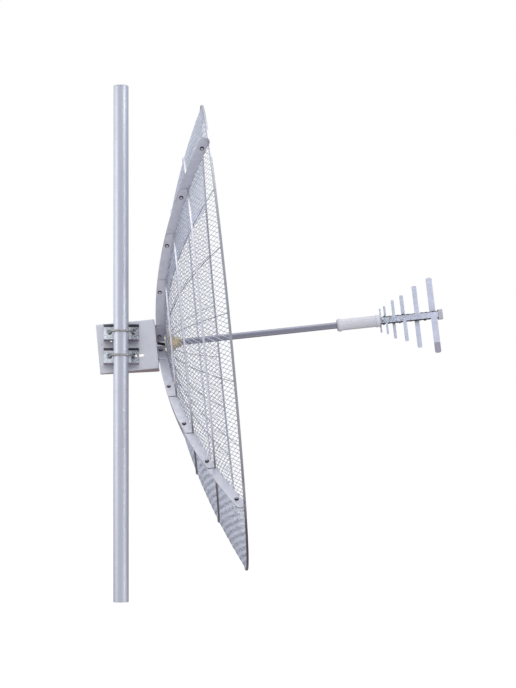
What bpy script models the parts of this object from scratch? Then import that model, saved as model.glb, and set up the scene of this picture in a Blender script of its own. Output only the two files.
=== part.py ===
"""Parabolic mesh dish antenna on its length of mast, at real size, in metres with +Z up.

The mast stands on the Z axis with its foot at the origin. The dish looks along +X, tilted up a little, and
is carried beside the mast by a folded bracket, two toothed saddles and two U-bolts. Everything that tilts
with the dish is modelled in the dish's own frame, whose origin is the bottom of the bowl and whose X axis
is the line of sight, and hangs from one empty. Angles round that axis are counted from -Y towards +Z. The
boom and the feed hang from a second empty, because the boom rises a little from the line of sight.
"""
import math

import bmesh
import bpy
from mathutils import Matrix, Vector

# Dish
DISH_RADIUS = 0.750
FOCAL_LENGTH = 0.7456
DISH_TILT = math.radians(5.3)
PETAL_NAMES = ("near", "top", "far", "bottom")
HALF_PETAL = math.radians(45.0)
ANGLE_STEP = math.radians(7.5)
MESH_THICKNESS = 0.002
MESH_INNER_RADIUS = 0.045
RING_RADII = (0.255, 0.428, 0.588)
RING_BOLT_RADII = (0.2117, 0.3884, 0.5599)
SHEET = 0.0015
GAP = 0.0003
EDGE_DEPTH = 0.0285
EDGE_INNER_RADIUS = 0.030
EDGE_OVERHANG = 0.008
RING_FLAT = 0.006
RING_DEPTH = 0.007
TAB_REACH = 0.014
TAB_DEPTH = 0.027
RIM_FRONT = 0.001
RIM_BACK = 0.006
RIM_LIP = 0.006

# Mast and where the dish sits beside it
MAST_RADIUS = 0.02415
MAST_WALL = 0.003
MAST_LENGTH = 1.640
MAST_SIDES = 32
CAP_THICKNESS = 0.002
CAP_PLUG = 0.012
DISH_AHEAD = 0.1402
DISH_HEIGHT = 0.8180
BRACKET_OFFSET = 0.040

# Bracket and hub, in the dish's frame
PLATE = 0.004
BRACKET_BACK = -0.2165
HUB_HALF_WIDTH = 0.065
HUB_TOP = 0.0763
HUB_BOTTOM = -0.0830
HUB_PLATE_FRONT = -0.0297
FLANGE_TAIL_WIDTH = 0.020
SHORT_SLOT = 0.009
UPRIGHT_SLOT = 0.0198
LEVEL_SLOT = 0.0225
SPIGOT_RADIUS = 0.0135
SPIGOT_BORE = 0.0090
SPIGOT_SLOT = 0.0095
SPIGOT_SLOT_FALL = 0.006
LUG_INNER_RADIUS = 0.0105
LUG_OUTER_RADIUS = 0.080
LUG_THICKNESS = 0.0025
LUG_FRONT = -0.003
LUG_CORNER = 0.008

# Clamps
SADDLE_HEIGHTS = {"upper": 0.0280, "lower": -0.0475}
U_BOLT_HEIGHTS = {"upper": 0.0309, "lower": -0.0457}
SADDLE_HALF_WIDTH = 0.056
SADDLE_TALL = 0.050
SADDLE_DEPTH = 0.034
SADDLE_SHEET = 0.003
SADDLE_SLOT = 0.010
TEETH_PER_SIDE = 5
TOOTH_DEPTH = 0.0025
ROD_RADIUS = 0.0035
U_BOLT_RADIUS = 0.0352
U_BOLT_TAIL = 0.062
NUT_ACROSS_FLATS = 0.013
NUT_THICKNESS = 0.0065
WASHER_RADIUS = 0.009
WASHER_THICKNESS = 0.0016

# Boom and feed, distances along the boom, which rises a little from the line of sight
BOOM_RISE = math.radians(0.58)
BOOM_RADIUS = 0.01045
BOOM_END = 0.624
CONE_RADIUS = 0.0535
CONE_BACK = 0.0031
CONE_RIM = 0.004
CONE_END = 0.036
COLLAR_RADIUS = 0.0165
COLLAR_END = 0.050
SLEEVE_BACK = 0.5587
SLEEVE_FRONT = 0.699
SLEEVE_RADIUS = 0.0185
BEAD_RADIUS = 0.0215
BEAD_LENGTH = 0.0166
END_RING_RADIUS = 0.020
END_RING_LENGTH = 0.0137
CORE_FRONT = 0.8910
CORE_HALF_THICKNESS = 0.0086
CORE_HALF_HEIGHT = 0.0126
BAR_HALF_HEIGHT = 0.0093
BAR_THICKNESS = 0.0016
BAR_BACK = 0.652
BAR_FRONT = 0.8908
ELEMENT_PLACES = (0.7022, 0.720, 0.746, 0.7795, 0.822, 0.8764)
ELEMENT_HALF_LENGTHS = (0.0384, 0.0471, 0.0624, 0.0768, 0.1007, 0.1247)
ELEMENT_WIDTHS = (0.0055, 0.0070, 0.0096, 0.0122, 0.0154, 0.0202)
END_BLOCK_LENGTH = 0.0143
END_BLOCK_HALF_HEIGHT = 0.016
END_BLOCK_HALF_WIDTH = 0.0125

ZINC = ("zinc", (0.72, 0.73, 0.78), 0.32, 0.9)
GALVANISED = ("galvanised", (0.66, 0.68, 0.74), 0.42, 0.85)
PAINT = ("grey_paint", (0.68, 0.69, 0.74), 0.5, 0.0)
STEEL = ("mast_steel", (0.70, 0.71, 0.76), 0.35, 0.8)
YELLOW = ("yellow_zinc", (0.55, 0.50, 0.30), 0.35, 0.8)
BOOM_METAL = ("boom_metal", (0.36, 0.36, 0.42), 0.35, 0.8)
PLASTIC = ("pale_plastic", (0.74, 0.75, 0.80), 0.45, 0.0)
BLACK = ("black_plastic", (0.03, 0.03, 0.035), 0.5, 0.0)
FEED_METAL = ("feed_metal", (0.68, 0.69, 0.80), 0.35, 0.8)


def clear_scene():
    """Empties the scene."""
    for thing in list(bpy.data.objects):
        bpy.data.objects.remove(thing, do_unlink=True)


def material(finish):
    """Returns the material of a finish, made once."""
    name, colour, roughness, metallic = finish
    found = bpy.data.materials.get(name)
    if found:
        return found
    made = bpy.data.materials.new(name)
    made.use_nodes = True
    shader = made.node_tree.nodes["Principled BSDF"]
    shader.inputs["Base Color"].default_value = (*colour, 1.0)
    shader.inputs["Roughness"].default_value = roughness
    shader.inputs["Metallic"].default_value = metallic
    return made


def mesh_from(name, points, faces):
    """Makes a closed mesh whose faces point out."""
    bm = bmesh.new()
    corners = [bm.verts.new(point) for point in points]
    for face in faces:
        bm.faces.new([corners[index] for index in face])
    bmesh.ops.recalc_face_normals(bm, faces=bm.faces)
    mesh = bpy.data.meshes.new(name)
    bm.to_mesh(mesh)
    bm.free()
    return mesh


def add(name, mesh, finish, parent=None):
    """Puts a mesh into the scene as one named sub-part."""
    thing = bpy.data.objects.new(name, mesh)
    bpy.context.scene.collection.objects.link(thing)
    thing.parent = parent
    if not mesh.materials:
        mesh.materials.append(material(finish))
    return thing


def smooth(mesh, degrees=35.0):
    """Shades the round stretches of a mesh smooth."""
    mesh.shade_smooth()
    mesh.set_sharp_from_angle(angle=math.radians(degrees))


def combined(name, first, others, operation="UNION"):
    """Returns one mesh: the first joined with, or cut by, each of the others in turn."""
    body = bpy.data.objects.new(name, first)
    bpy.context.scene.collection.objects.link(body)
    tools = []
    for mesh in others:
        tool = bpy.data.objects.new(name + "_tool", mesh)
        bpy.context.scene.collection.objects.link(tool)
        tools.append(tool)
        step = body.modifiers.new("join", "BOOLEAN")
        step.operation = operation
        step.object = tool
    bpy.context.view_layer.update()
    shaped = body.evaluated_get(bpy.context.evaluated_depsgraph_get())
    result = bpy.data.meshes.new_from_object(shaped)
    result.name = name
    for thing in [body, *tools]:
        bpy.data.objects.remove(thing, do_unlink=True)
    return result


def swept(name, rings, closed=False):
    """Joins rings of points, all of one length, into a solid: capped at its ends, or closed on itself."""
    size = len(rings[0])
    points = [point for ring in rings for point in ring]
    faces = []
    spans = len(rings) if closed else len(rings) - 1
    for i in range(spans):
        low, high = i * size, ((i + 1) % len(rings)) * size
        for j in range(size):
            after = (j + 1) % size
            faces.append((low + j, low + after, high + after, high + j))
    if not closed:
        faces.append(tuple(range(size)))
        faces.append(tuple(range(len(points) - size, len(points))))
    return mesh_from(name, points, faces)


def prism(name, outline, place):
    """A flat outline given two depths by place(first, second, side), where side is 0 or 1."""
    return swept(name, [[place(p, q, side) for p, q in outline] for side in (0, 1)])


def block(name, low, high):
    """A box from its lowest to its highest corner."""
    outline = ((low[0], low[1]), (high[0], low[1]), (high[0], high[1]), (low[0], high[1]))
    return prism(name, outline, lambda x, y, side: (x, y, (low[2], high[2])[side]))


def turned(name, profile, sides, along="x"):
    """Turns a profile of (distance along the axis, radius) points; a radius of 0 closes an end."""
    points = []
    rows = []
    for distance, radius in profile:
        count = sides if radius > 0 else 1
        rows.append(range(len(points), len(points) + count))
        for k in range(count):
            angle = 2 * math.pi * k / sides
            first, second = radius * math.cos(angle), radius * math.sin(angle)
            points.append((distance, first, second) if along == "x" else (first, second, distance))
    faces = []
    pairs = list(zip(rows, rows[1:]))
    if profile[0][1] > 0:
        pairs.append((rows[-1], rows[0]))
    for low, high in pairs:
        for k in range(sides):
            after = (k + 1) % sides
            corners = [low[k % len(low)], low[after % len(low)], high[after % len(high)], high[k % len(high)]]
            faces.append(tuple(dict.fromkeys(corners)))
    return mesh_from(name, points, faces)


def slot_outline(centre, half_length, half_width, upright, steps=4):
    """The outline of a slot with round ends."""
    points = []
    for end in (1, -1):
        for k in range(steps + 1):
            angle = math.pi * (k / steps - 0.5)
            along = end * (half_length - half_width + half_width * math.cos(angle))
            across = end * half_width * math.sin(angle)
            offset = (-across, along) if upright else (along, across)
            points.append((centre[0] + offset[0], centre[1] + offset[1]))
    return points


def dish_height(radius):
    """How far the bowl has come forward at a radius."""
    return radius ** 2 / (4 * FOCAL_LENGTH)


def slant(radius):
    """Length along the line of sight of a unit of depth square to the bowl."""
    return math.hypot(1.0, radius / (2 * FOCAL_LENGTH))


def bowl_section(radius, offset=0.0):
    """A point of the bowl's section, moved off the surface towards the focus by the offset."""
    slope = radius / (2 * FOCAL_LENGTH)
    reach = slant(radius)
    return dish_height(radius) + offset / reach, radius - offset * slope / reach


def behind(radius, depth):
    """Where a surface parallel to the bowl and behind it by a depth meets a radius."""
    return dish_height(radius) - depth * slant(radius)


def around(distance, radius, angle):
    """A point at an angle round the line of sight."""
    return Vector((distance, -radius * math.cos(angle), radius * math.sin(angle)))


def beside_seam(distance, radius, seam, into_petal):
    """A point at a distance into the near petal from one of its seams, given as +1 or -1."""
    angle = seam * HALF_PETAL
    tangent = Vector((0.0, math.sin(angle), math.cos(angle)))
    return around(distance, radius, angle) - tangent * seam * into_petal


def petal_angles(radius, clear):
    """The near petal's angles at a radius, ending at a distance from its two seams."""
    last = HALF_PETAL - math.asin(clear / radius)
    inner = int(HALF_PETAL / ANGLE_STEP) - 1
    return [-last, *(ANGLE_STEP * k for k in range(-inner, inner + 1)), last]


TAB_FACE = GAP / 2 + SHEET + GAP
RIM_INSIDE = DISH_RADIUS - SHEET


def bowl_stations():
    """The radii at which a petal's sheet and edges have corners: each ring and the middle between rings."""
    fixed = [MESH_INNER_RADIUS, *RING_RADII, RIM_INSIDE - 3 * GAP]
    stations = [fixed[0]]
    for low, high in zip(fixed, fixed[1:]):
        if high - low > DISH_RADIUS / 10:
            stations.append((low + high) / 2)
        stations.append(high)
    return stations


def petal_mesh():
    """The petal's sheet of mesh, as one thin curved sheet."""
    rows = []
    for radius in bowl_stations():
        ring = []
        for offset in (MESH_THICKNESS / 2, -MESH_THICKNESS / 2):
            distance, reach = bowl_section(radius, offset)
            line = [around(distance, reach, angle) for angle in petal_angles(radius, TAB_FACE)]
            ring.extend(line if offset > 0 else reversed(line))
        rows.append(ring)
    return swept("petal_mesh", rows)


def edge_profile():
    """Radii along a petal's edge strip, each with its front's and its back's offset from the bowl."""
    front, back = MESH_THICKNESS / 2, -EDGE_DEPTH
    rounding = EDGE_DEPTH / 2
    steps = 4
    profile = []
    for k in range(steps):
        part = k / steps
        deep = rounding + rounding * math.sqrt(1 - (1 - part) ** 2)
        profile.append((EDGE_INNER_RADIUS + rounding * part, front, -deep))
    start = EDGE_INNER_RADIUS + rounding
    end = DISH_RADIUS + EDGE_OVERHANG - rounding
    middle = [radius for radius in bowl_stations() if start + GAP < radius < end - GAP]
    profile += [(radius, front, back) for radius in (start, *middle, end)]
    for k in range(1, steps + 1):
        angle = math.pi / 2 * k / (steps + 0.5)
        swing = rounding * (1 - math.cos(angle))
        profile.append((end + rounding * math.sin(angle), front - swing, back + swing))
    return profile


def petal_edge(seam):
    """The flat strip that stands behind the bowl along one seam, and passes the rim with a round end."""
    rings = []
    for radius, front, back in edge_profile():
        ring = []
        for offset, side in ((front, 0), (front, 1), (back, 1), (back, 0)):
            distance, reach = bowl_section(radius, offset)
            ring.append(beside_seam(distance, reach, seam, GAP / 2 + side * SHEET))
        rings.append(ring)
    return swept("petal_edge", rings)


def petal_rim():
    """The angle section round the petal's outer edge."""
    front = dish_height(DISH_RADIUS) + RIM_FRONT
    back = dish_height(DISH_RADIUS) - RIM_BACK
    clear = MESH_THICKNESS / 2 + GAP
    lip = DISH_RADIUS - RIM_LIP
    section = [
        (front, RIM_INSIDE),
        (front, DISH_RADIUS),
        (back, DISH_RADIUS),
        (behind(lip, clear + SHEET), lip),
        (behind(lip, clear), lip),
        (behind(RIM_INSIDE, clear), RIM_INSIDE),
    ]
    rings = [
        [around(distance, radius, angle) for distance, radius in section]
        for angle in petal_angles(DISH_RADIUS, (GAP + SHEET) / 2)
    ]
    return swept("petal_rim", rings)


def petal_frame():
    """Two edge strips and the rim, welded into the frame of one petal."""
    return combined("petal_frame", petal_rim(), [petal_edge(1), petal_edge(-1)])


def ring_tab(radius, bolt_radius, seam):
    """The bent end of a ring rib, which lies on the petal's edge strip and reaches past its bolt."""
    start, outer = bolt_radius - TAB_REACH, radius + RING_FLAT
    clear = MESH_THICKNESS / 2 + GAP
    outline = (
        (behind(start, clear), start),
        (behind(radius, clear), radius),
        (behind(outer, clear), outer),
        (behind(outer, TAB_DEPTH), outer),
        (behind(start, TAB_DEPTH), start),
    )
    return prism(
        "ring_tab", outline, lambda a, r, side: beside_seam(a, r, seam, TAB_FACE + side * SHEET)
    )


def ring_rib(radius, bolt_radius):
    """A petal's length of one ring: an angle with one leg on the sheet and one that stands behind it."""
    outer = radius + RING_FLAT
    clear = MESH_THICKNESS / 2 + GAP
    back = behind(radius, clear) - RING_DEPTH
    section = (
        (behind(radius, clear), radius),
        (behind(outer, clear), outer),
        (behind(outer, clear + SHEET), outer),
        (behind(radius + SHEET, clear + SHEET), radius + SHEET),
        (back, radius + SHEET),
        (back, radius),
    )
    rings = [
        [around(distance, reach, angle) for distance, reach in section]
        for angle in petal_angles(radius, TAB_FACE + SHEET / 2)
    ]
    tabs = [ring_tab(radius, bolt_radius, seam) for seam in (1, -1)]
    return combined("ring_rib", swept("ring_angle", rings), tabs)


def build_petals(dish):
    """Four petals, each a sheet, a frame and three ring ribs, bolted edge to edge."""
    sheet = petal_mesh()
    frame = petal_frame()
    ribs = [ring_rib(*radii) for radii in zip(RING_RADII, RING_BOLT_RADII)]
    for k, petal in enumerate(PETAL_NAMES):
        pieces = [(f"{petal}_petal_mesh", sheet, GALVANISED), (f"{petal}_petal_frame", frame, ZINC)]
        pieces += [(f"{petal}_petal_rib_{number}", rib, ZINC) for number, rib in enumerate(ribs, 1)]
        for name, mesh, finish in pieces:
            add(name, mesh, finish, dish).rotation_euler.x = -k * math.pi / 2


def build_mast():
    """The round mast tube, its foot closed by a flat plate and its top by a plug with a flush lid."""
    bore = MAST_RADIUS - MAST_WALL
    lid = MAST_LENGTH - CAP_THICKNESS
    top = lid - GAP
    profile = ((0.0, 0.0), (0.0, MAST_RADIUS), (top, MAST_RADIUS), (top, bore), (PLATE, bore), (PLATE, 0.0))
    tube = turned("mast", profile, MAST_SIDES, along="z")
    smooth(tube)
    add("mast", tube, STEEL)
    plug = bore - GAP
    profile = (
        (lid - CAP_PLUG, 0.0),
        (lid - CAP_PLUG, plug),
        (lid, plug),
        (lid, MAST_RADIUS),
        (MAST_LENGTH, MAST_RADIUS),
        (MAST_LENGTH, 0.0),
    )
    cap = turned("mast_cap", profile, MAST_SIDES, along="z")
    smooth(cap)
    add("mast_cap", cap, PLASTIC)


def dish_point(x, z):
    """Where a line along Y at a world x and z meets the dish's own frame."""
    x, z = x - DISH_AHEAD, z - DISH_HEIGHT
    return (
        x * math.cos(DISH_TILT) + z * math.sin(DISH_TILT),
        -x * math.sin(DISH_TILT) + z * math.cos(DISH_TILT),
    )


def bracket_slots():
    """The four slots that the U-bolts pass through, as cutters."""
    half_width = ROD_RADIUS + 2 * GAP
    cutters = []
    for clamp, height in U_BOLT_HEIGHTS.items():
        for side in (-1, 1):
            along, up = dish_point(side * U_BOLT_RADIUS, DISH_HEIGHT + height)
            upright = clamp == "upper" and side < 0
            level = clamp == "lower" and side > 0
            half_length = UPRIGHT_SLOT if upright else LEVEL_SLOT if level else SHORT_SLOT
            shift = half_length - SHORT_SLOT
            centre = (along, up - shift) if upright else (along + (shift if level else 0.0), up)
            outline = slot_outline(centre, half_length, half_width, upright)
            low, high = -HUB_HALF_WIDTH - PLATE, -HUB_HALF_WIDTH + 2 * PLATE
            cutters.append(prism("slot", outline, lambda a, u, s, ys=(low, high): (a, ys[s], u)))
    return cutters


def build_bracket(dish):
    """The folded bracket: a side plate, a front plate, and a top and a bottom that widen forward."""
    front = HUB_PLATE_FRONT - PLATE - GAP
    near, far = -HUB_HALF_WIDTH, HUB_HALF_WIDTH
    side = block("side", (BRACKET_BACK, near, HUB_BOTTOM), (front, near + PLATE, HUB_TOP))
    face = block("face", (front - PLATE, near, HUB_BOTTOM), (front, far, HUB_TOP))
    outline = (
        (BRACKET_BACK, near),
        (front, near),
        (front, far),
        (front - PLATE, far),
        (BRACKET_BACK, near + FLANGE_TAIL_WIDTH),
    )
    floors = []
    for low in (HUB_BOTTOM, HUB_TOP - PLATE):
        floors.append(prism("floor", outline, lambda a, y, s, lo=low: (a, y, lo + s * PLATE)))
    folded = combined("bracket", side, [face, *floors])
    add("bracket", combined("bracket", folded, bracket_slots(), "DIFFERENCE"), PAINT, dish)


def lug_outline(back):
    """A hub lug's outline in its own plane: square where it meets the spigot's front, round elsewhere."""
    points = [(LUG_FRONT, LUG_INNER_RADIUS)]
    corners = (
        (LUG_FRONT - LUG_CORNER, LUG_OUTER_RADIUS - LUG_CORNER, 0.0),
        (back + LUG_CORNER, LUG_OUTER_RADIUS - LUG_CORNER, 0.5),
        (back + LUG_CORNER, LUG_INNER_RADIUS + LUG_CORNER, 1.0),
    )
    steps = 3
    for distance, radius, turn in corners:
        for k in range(steps + 1):
            angle = math.pi * (turn + k / steps / 2)
            points.append((distance + LUG_CORNER * math.cos(angle), radius + LUG_CORNER * math.sin(angle)))
    return points


def turn_mesh(mesh, angle):
    """Turns a mesh about the line of sight."""
    mesh.transform(Matrix.Rotation(angle, 4, "X"))
    return mesh


def build_hub(dish):
    """The plate behind the petals, and the spigot whose eight lugs hold the petals' edges."""
    back = HUB_PLATE_FRONT - PLATE
    plate = block(
        "hub_plate", (back, -HUB_HALF_WIDTH, HUB_BOTTOM), (HUB_PLATE_FRONT, HUB_HALF_WIDTH, HUB_TOP)
    )
    add("hub_plate", plate, PAINT, dish)
    seat = HUB_PLATE_FRONT + GAP
    front = CONE_BACK - 2 * GAP
    profile = (
        (seat, SPIGOT_BORE),
        (seat, SPIGOT_RADIUS),
        (front, SPIGOT_RADIUS),
        (front, SPIGOT_BORE),
    )
    spigot = turned("spigot", profile, 24)
    outline = lug_outline(seat)
    lugs = []
    for quarter in range(4):
        for seam in (1, -1):
            lug = prism(
                "lug", outline, lambda a, r, s, m=seam: beside_seam(a, r, m, TAB_FACE + s * LUG_THICKNESS)
            )
            lugs.append(turn_mesh(lug, quarter * math.pi / 2))
    half, fall = SPIGOT_SLOT / 2, SPIGOT_SLOT_FALL / 2
    start, end = seat + 4 * GAP, LUG_FRONT
    outline = ((start, fall - half), (end, -fall - half), (end, half - fall), (start, half + fall))
    slot = prism("slot", outline, lambda a, u, s: (a, -2 * SPIGOT_RADIUS * s, u))
    spider = combined("hub_spider", spigot, lugs)
    add("hub_spider", combined("hub_spider", spider, [slot], "DIFFERENCE"), ZINC, dish)


def build_saddles():
    """The toothed channels between the mast and the bracket."""
    back = BRACKET_OFFSET - GAP
    front = back - SADDLE_DEPTH
    apex = (MAST_RADIUS + GAP) * math.sqrt(2)
    mouth = apex - front
    notch = []
    for k in range(2 * TEETH_PER_SIDE + 1):
        part = k / (2 * TEETH_PER_SIDE)
        deep = TOOTH_DEPTH / math.sqrt(2) if k % 2 else 0.0
        notch.append((mouth * (1 - part) + deep, front + mouth * part + deep))
    notch[-1] = (0.0, min(apex, back - SADDLE_SHEET - GAP))
    jaw = [(SADDLE_HALF_WIDTH, back), (SADDLE_HALF_WIDTH, front), *notch]
    jaw += [(-x, y) for x, y in reversed(jaw[:-1])]
    for clamp, height in SADDLE_HEIGHTS.items():
        low = DISH_HEIGHT + height - SADDLE_TALL / 2
        high = low + SADDLE_TALL
        web = block(
            "web", (-SADDLE_HALF_WIDTH, back - SADDLE_SHEET, low), (SADDLE_HALF_WIDTH, back, high)
        )
        jaws = []
        for start in (low, high - SADDLE_SHEET):
            jaws.append(prism("jaw", jaw, lambda x, y, s, z=start: (x, y, z + s * SADDLE_SHEET)))
        cutters = []
        for side in (-1, 1):
            centre = (side * (U_BOLT_RADIUS + ROD_RADIUS), DISH_HEIGHT + U_BOLT_HEIGHTS[clamp])
            outline = slot_outline(centre, SADDLE_SLOT, ROD_RADIUS + 2 * GAP, False)
            cutters.append(
                prism("slot", outline, lambda x, z, s: (x, back + (s - 0.5) * 4 * SADDLE_SHEET, z))
            )
        channel = combined("saddle", web, jaws)
        add(f"{clamp}_saddle", combined("saddle", channel, cutters, "DIFFERENCE"), ZINC)


def u_bolt_path():
    """The middle line of a U-bolt, level, round the mast from one threaded end to the other."""
    centre = U_BOLT_RADIUS - (MAST_RADIUS + GAP + ROD_RADIUS)
    points = [(-U_BOLT_RADIUS, U_BOLT_TAIL)]
    steps = 16
    for k in range(steps + 1):
        angle = math.pi * k / steps
        points.append((-U_BOLT_RADIUS * math.cos(angle), centre - U_BOLT_RADIUS * math.sin(angle)))
    points.append((U_BOLT_RADIUS, U_BOLT_TAIL))
    return points


def rod(name, points, radius):
    """A round rod along a line of points, with flat ends."""
    curve = bpy.data.curves.new(name, "CURVE")
    curve.dimensions = "3D"
    curve.bevel_depth = radius
    curve.bevel_resolution = 2
    curve.use_fill_caps = True
    line = curve.splines.new("POLY")
    line.points.add(len(points) - 1)
    for place, point in zip(line.points, points):
        place.co = (*point, 1.0)
    return curve


def build_u_bolts():
    """The two U-bolts and their four nuts, each with its washer."""
    seat = BRACKET_OFFSET + PLATE + GAP
    bore = ROD_RADIUS + GAP
    hexagon = NUT_ACROSS_FLATS / math.sqrt(3)
    for clamp, height in U_BOLT_HEIGHTS.items():
        level = DISH_HEIGHT + height
        curve = rod(f"{clamp}_u_bolt", [(x, y, level) for x, y in u_bolt_path()], ROD_RADIUS)
        curve.materials.append(material(ZINC))
        bolt = bpy.data.objects.new(f"{clamp}_u_bolt", curve)
        bpy.context.scene.collection.objects.link(bolt)
        for side, place in (("back", -U_BOLT_RADIUS), ("front", U_BOLT_RADIUS)):
            washer = turned(
                "washer",
                ((0, bore), (0, WASHER_RADIUS), (WASHER_THICKNESS, WASHER_RADIUS), (WASHER_THICKNESS, bore)),
                12,
            )
            start = WASHER_THICKNESS / 2
            end = WASHER_THICKNESS + NUT_THICKNESS
            outline = [
                (hexagon * math.cos(math.pi / 3 * k), hexagon * math.sin(math.pi / 3 * k)) for k in range(6)
            ]
            nut = prism("nut", outline, lambda y, z, s: ((start, end)[s], y, z))
            hole = turned("hole", ((-end, 0), (-end, bore), (2 * end, bore), (2 * end, 0)), 12)
            mesh = combined("nut", combined("nut", washer, [nut]), [hole], "DIFFERENCE")
            thing = add(f"{clamp}_{side}_nut", mesh, ZINC)
            thing.rotation_euler.z = math.pi / 2
            thing.location = (place, seat, level)


def build_boom(line):
    """The plated cone that holds the boom, the boom tube, and the plastic sleeve at its end."""
    bore = BOOM_RADIUS + GAP
    socket = CONE_BACK + 2 * CONE_RIM
    profile = (
        (CONE_BACK, 0.0),
        (CONE_BACK, CONE_RADIUS),
        (CONE_BACK + CONE_RIM, CONE_RADIUS),
        (CONE_BACK + 2 * CONE_RIM, 0.75 * CONE_RADIUS),
        (CONE_END, COLLAR_RADIUS),
        (COLLAR_END, COLLAR_RADIUS),
        (COLLAR_END, bore),
        (socket, bore),
        (socket, 0.0),
    )
    cone = turned("boom_cone", profile, 32)
    smooth(cone, 25)
    add("boom_cone", cone, YELLOW, line)
    start = socket + GAP
    tube = turned("boom", ((start, 0), (start, BOOM_RADIUS), (BOOM_END, BOOM_RADIUS), (BOOM_END, 0)), 24)
    smooth(tube)
    add("boom", tube, BOOM_METAL, line)
    cavity = math.hypot(CORE_HALF_HEIGHT, CORE_HALF_THICKNESS) + 2 * GAP
    step = (BOOM_END + BAR_BACK) / 2
    ring = SLEEVE_FRONT - END_RING_LENGTH
    profile = (
        (SLEEVE_BACK, bore),
        (SLEEVE_BACK, SLEEVE_RADIUS),
        (SLEEVE_BACK + BEAD_LENGTH * 0.2, BEAD_RADIUS),
        (SLEEVE_BACK + BEAD_LENGTH * 0.6, BEAD_RADIUS),
        (SLEEVE_BACK + BEAD_LENGTH, SLEEVE_RADIUS),
        (ring, SLEEVE_RADIUS),
        (ring, END_RING_RADIUS),
        (SLEEVE_FRONT, END_RING_RADIUS),
        (SLEEVE_FRONT, cavity),
        (step, cavity),
        (step, bore),
    )
    sleeve = turned("feed_sleeve", profile, 32)
    smooth(sleeve, 40)
    add("feed_sleeve", sleeve, PLASTIC, line)


def element_outline(place, half_length, width, upward):
    """One half of a feed element, from inside the bar to its chamfered tip."""
    half, chamfer = width / 2, width / 5
    way = 1 if upward else -1
    return [
        (place - half, 0.0),
        (place + half, 0.0),
        (place + half, way * (half_length - chamfer)),
        (place + half - chamfer, way * half_length),
        (place - half + chamfer, way * half_length),
        (place - half, way * (half_length - chamfer)),
    ]


def build_feed(line):
    """The two feed bars with their alternating elements, the core between them, and the end block."""
    inside = CORE_HALF_THICKNESS + GAP
    for side, way in (("near", -1), ("far", 1)):
        faces = sorted((way * inside, way * (inside + BAR_THICKNESS)))
        place = lambda a, u, s, ys=faces: (a, ys[s], u)
        outline = [
            (BAR_BACK, -BAR_HALF_HEIGHT),
            (BAR_FRONT, -BAR_HALF_HEIGHT),
            (BAR_FRONT, BAR_HALF_HEIGHT),
            (BAR_BACK, BAR_HALF_HEIGHT),
        ]
        elements = []
        sizes = zip(ELEMENT_PLACES, ELEMENT_HALF_LENGTHS, ELEMENT_WIDTHS)
        for number, (along, half_length, width) in enumerate(sizes):
            upward = (number % 2 == 0) == (side == "near")
            elements.append(prism("element", element_outline(along, half_length, width, upward), place))
        bar = combined("feed_bar", prism("bar", outline, place), elements)
        add(f"{side}_feed_bar", bar, FEED_METAL, line)
    core = block(
        "feed_core",
        (BAR_BACK, -CORE_HALF_THICKNESS, -CORE_HALF_HEIGHT),
        (CORE_FRONT, CORE_HALF_THICKNESS, CORE_HALF_HEIGHT),
    )
    add("feed_core", core, BLACK, line)
    start = CORE_FRONT + GAP
    end_block = block(
        "feed_end_block",
        (start, -END_BLOCK_HALF_WIDTH, -END_BLOCK_HALF_HEIGHT),
        (start + END_BLOCK_LENGTH, END_BLOCK_HALF_WIDTH, END_BLOCK_HALF_HEIGHT),
    )
    add("feed_end_block", end_block, PLASTIC, line)


def frame(name, place, rise, parent=None):
    """An empty whose X axis rises from its parent's by an angle."""
    empty = bpy.data.objects.new(name, None)
    bpy.context.scene.collection.objects.link(empty)
    empty.location = place
    empty.rotation_euler.y = -rise
    empty.parent = parent
    return empty


def main():
    """Builds the whole antenna."""
    clear_scene()
    dish = frame("dish_frame", (DISH_AHEAD, BRACKET_OFFSET + HUB_HALF_WIDTH, DISH_HEIGHT), DISH_TILT)
    boom_line = frame("boom_line", (0.0, 0.0, 0.0), BOOM_RISE, dish)
    build_mast()
    build_saddles()
    build_u_bolts()
    build_bracket(dish)
    build_hub(dish)
    build_petals(dish)
    build_boom(boom_line)
    build_feed(boom_line)


main()
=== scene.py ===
"""Looks of a parabolic mesh dish antenna on its length of mast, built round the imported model.

Lengths are metres. The dish's own frame has its origin at the bottom of the bowl and its X axis on
the line of sight. Angles round that axis are counted from -Y towards +Z. The boom's frame has the
same origin and rises a little more.
"""

import logging
import math
from dataclasses import dataclass, field
from enum import Enum
from typing import Callable, Iterable, Sequence

import bmesh
import bpy
import numpy as np
from mathutils import Matrix, Vector


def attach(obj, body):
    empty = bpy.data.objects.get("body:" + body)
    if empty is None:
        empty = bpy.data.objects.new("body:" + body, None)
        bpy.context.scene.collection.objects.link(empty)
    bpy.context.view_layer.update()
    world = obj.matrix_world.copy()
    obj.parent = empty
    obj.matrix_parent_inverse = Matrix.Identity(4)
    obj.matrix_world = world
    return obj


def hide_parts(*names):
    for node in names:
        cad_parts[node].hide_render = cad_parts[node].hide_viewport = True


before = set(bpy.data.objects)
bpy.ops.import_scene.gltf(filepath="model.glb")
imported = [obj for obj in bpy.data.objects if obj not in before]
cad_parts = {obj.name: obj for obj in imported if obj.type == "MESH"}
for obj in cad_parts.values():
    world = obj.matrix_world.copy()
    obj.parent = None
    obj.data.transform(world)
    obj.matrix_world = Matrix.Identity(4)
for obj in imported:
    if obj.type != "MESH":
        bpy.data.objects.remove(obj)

LOG = logging.getLogger("dish_antenna")

Point = Sequence[float]
Colour = tuple[float, float, float]
Profile = Sequence[tuple[float, float]]

GAP = 0.0003
LEVEL = 0.8180
MAST_RADIUS = 0.02415
ROD_RADIUS = 0.0035
ROD_REACH = 0.0352
SLOT_HALF_WIDTH = ROD_RADIUS + 0.0006
CLAMP_LEVELS = {"upper": 0.0309, "lower": -0.0457}

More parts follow.
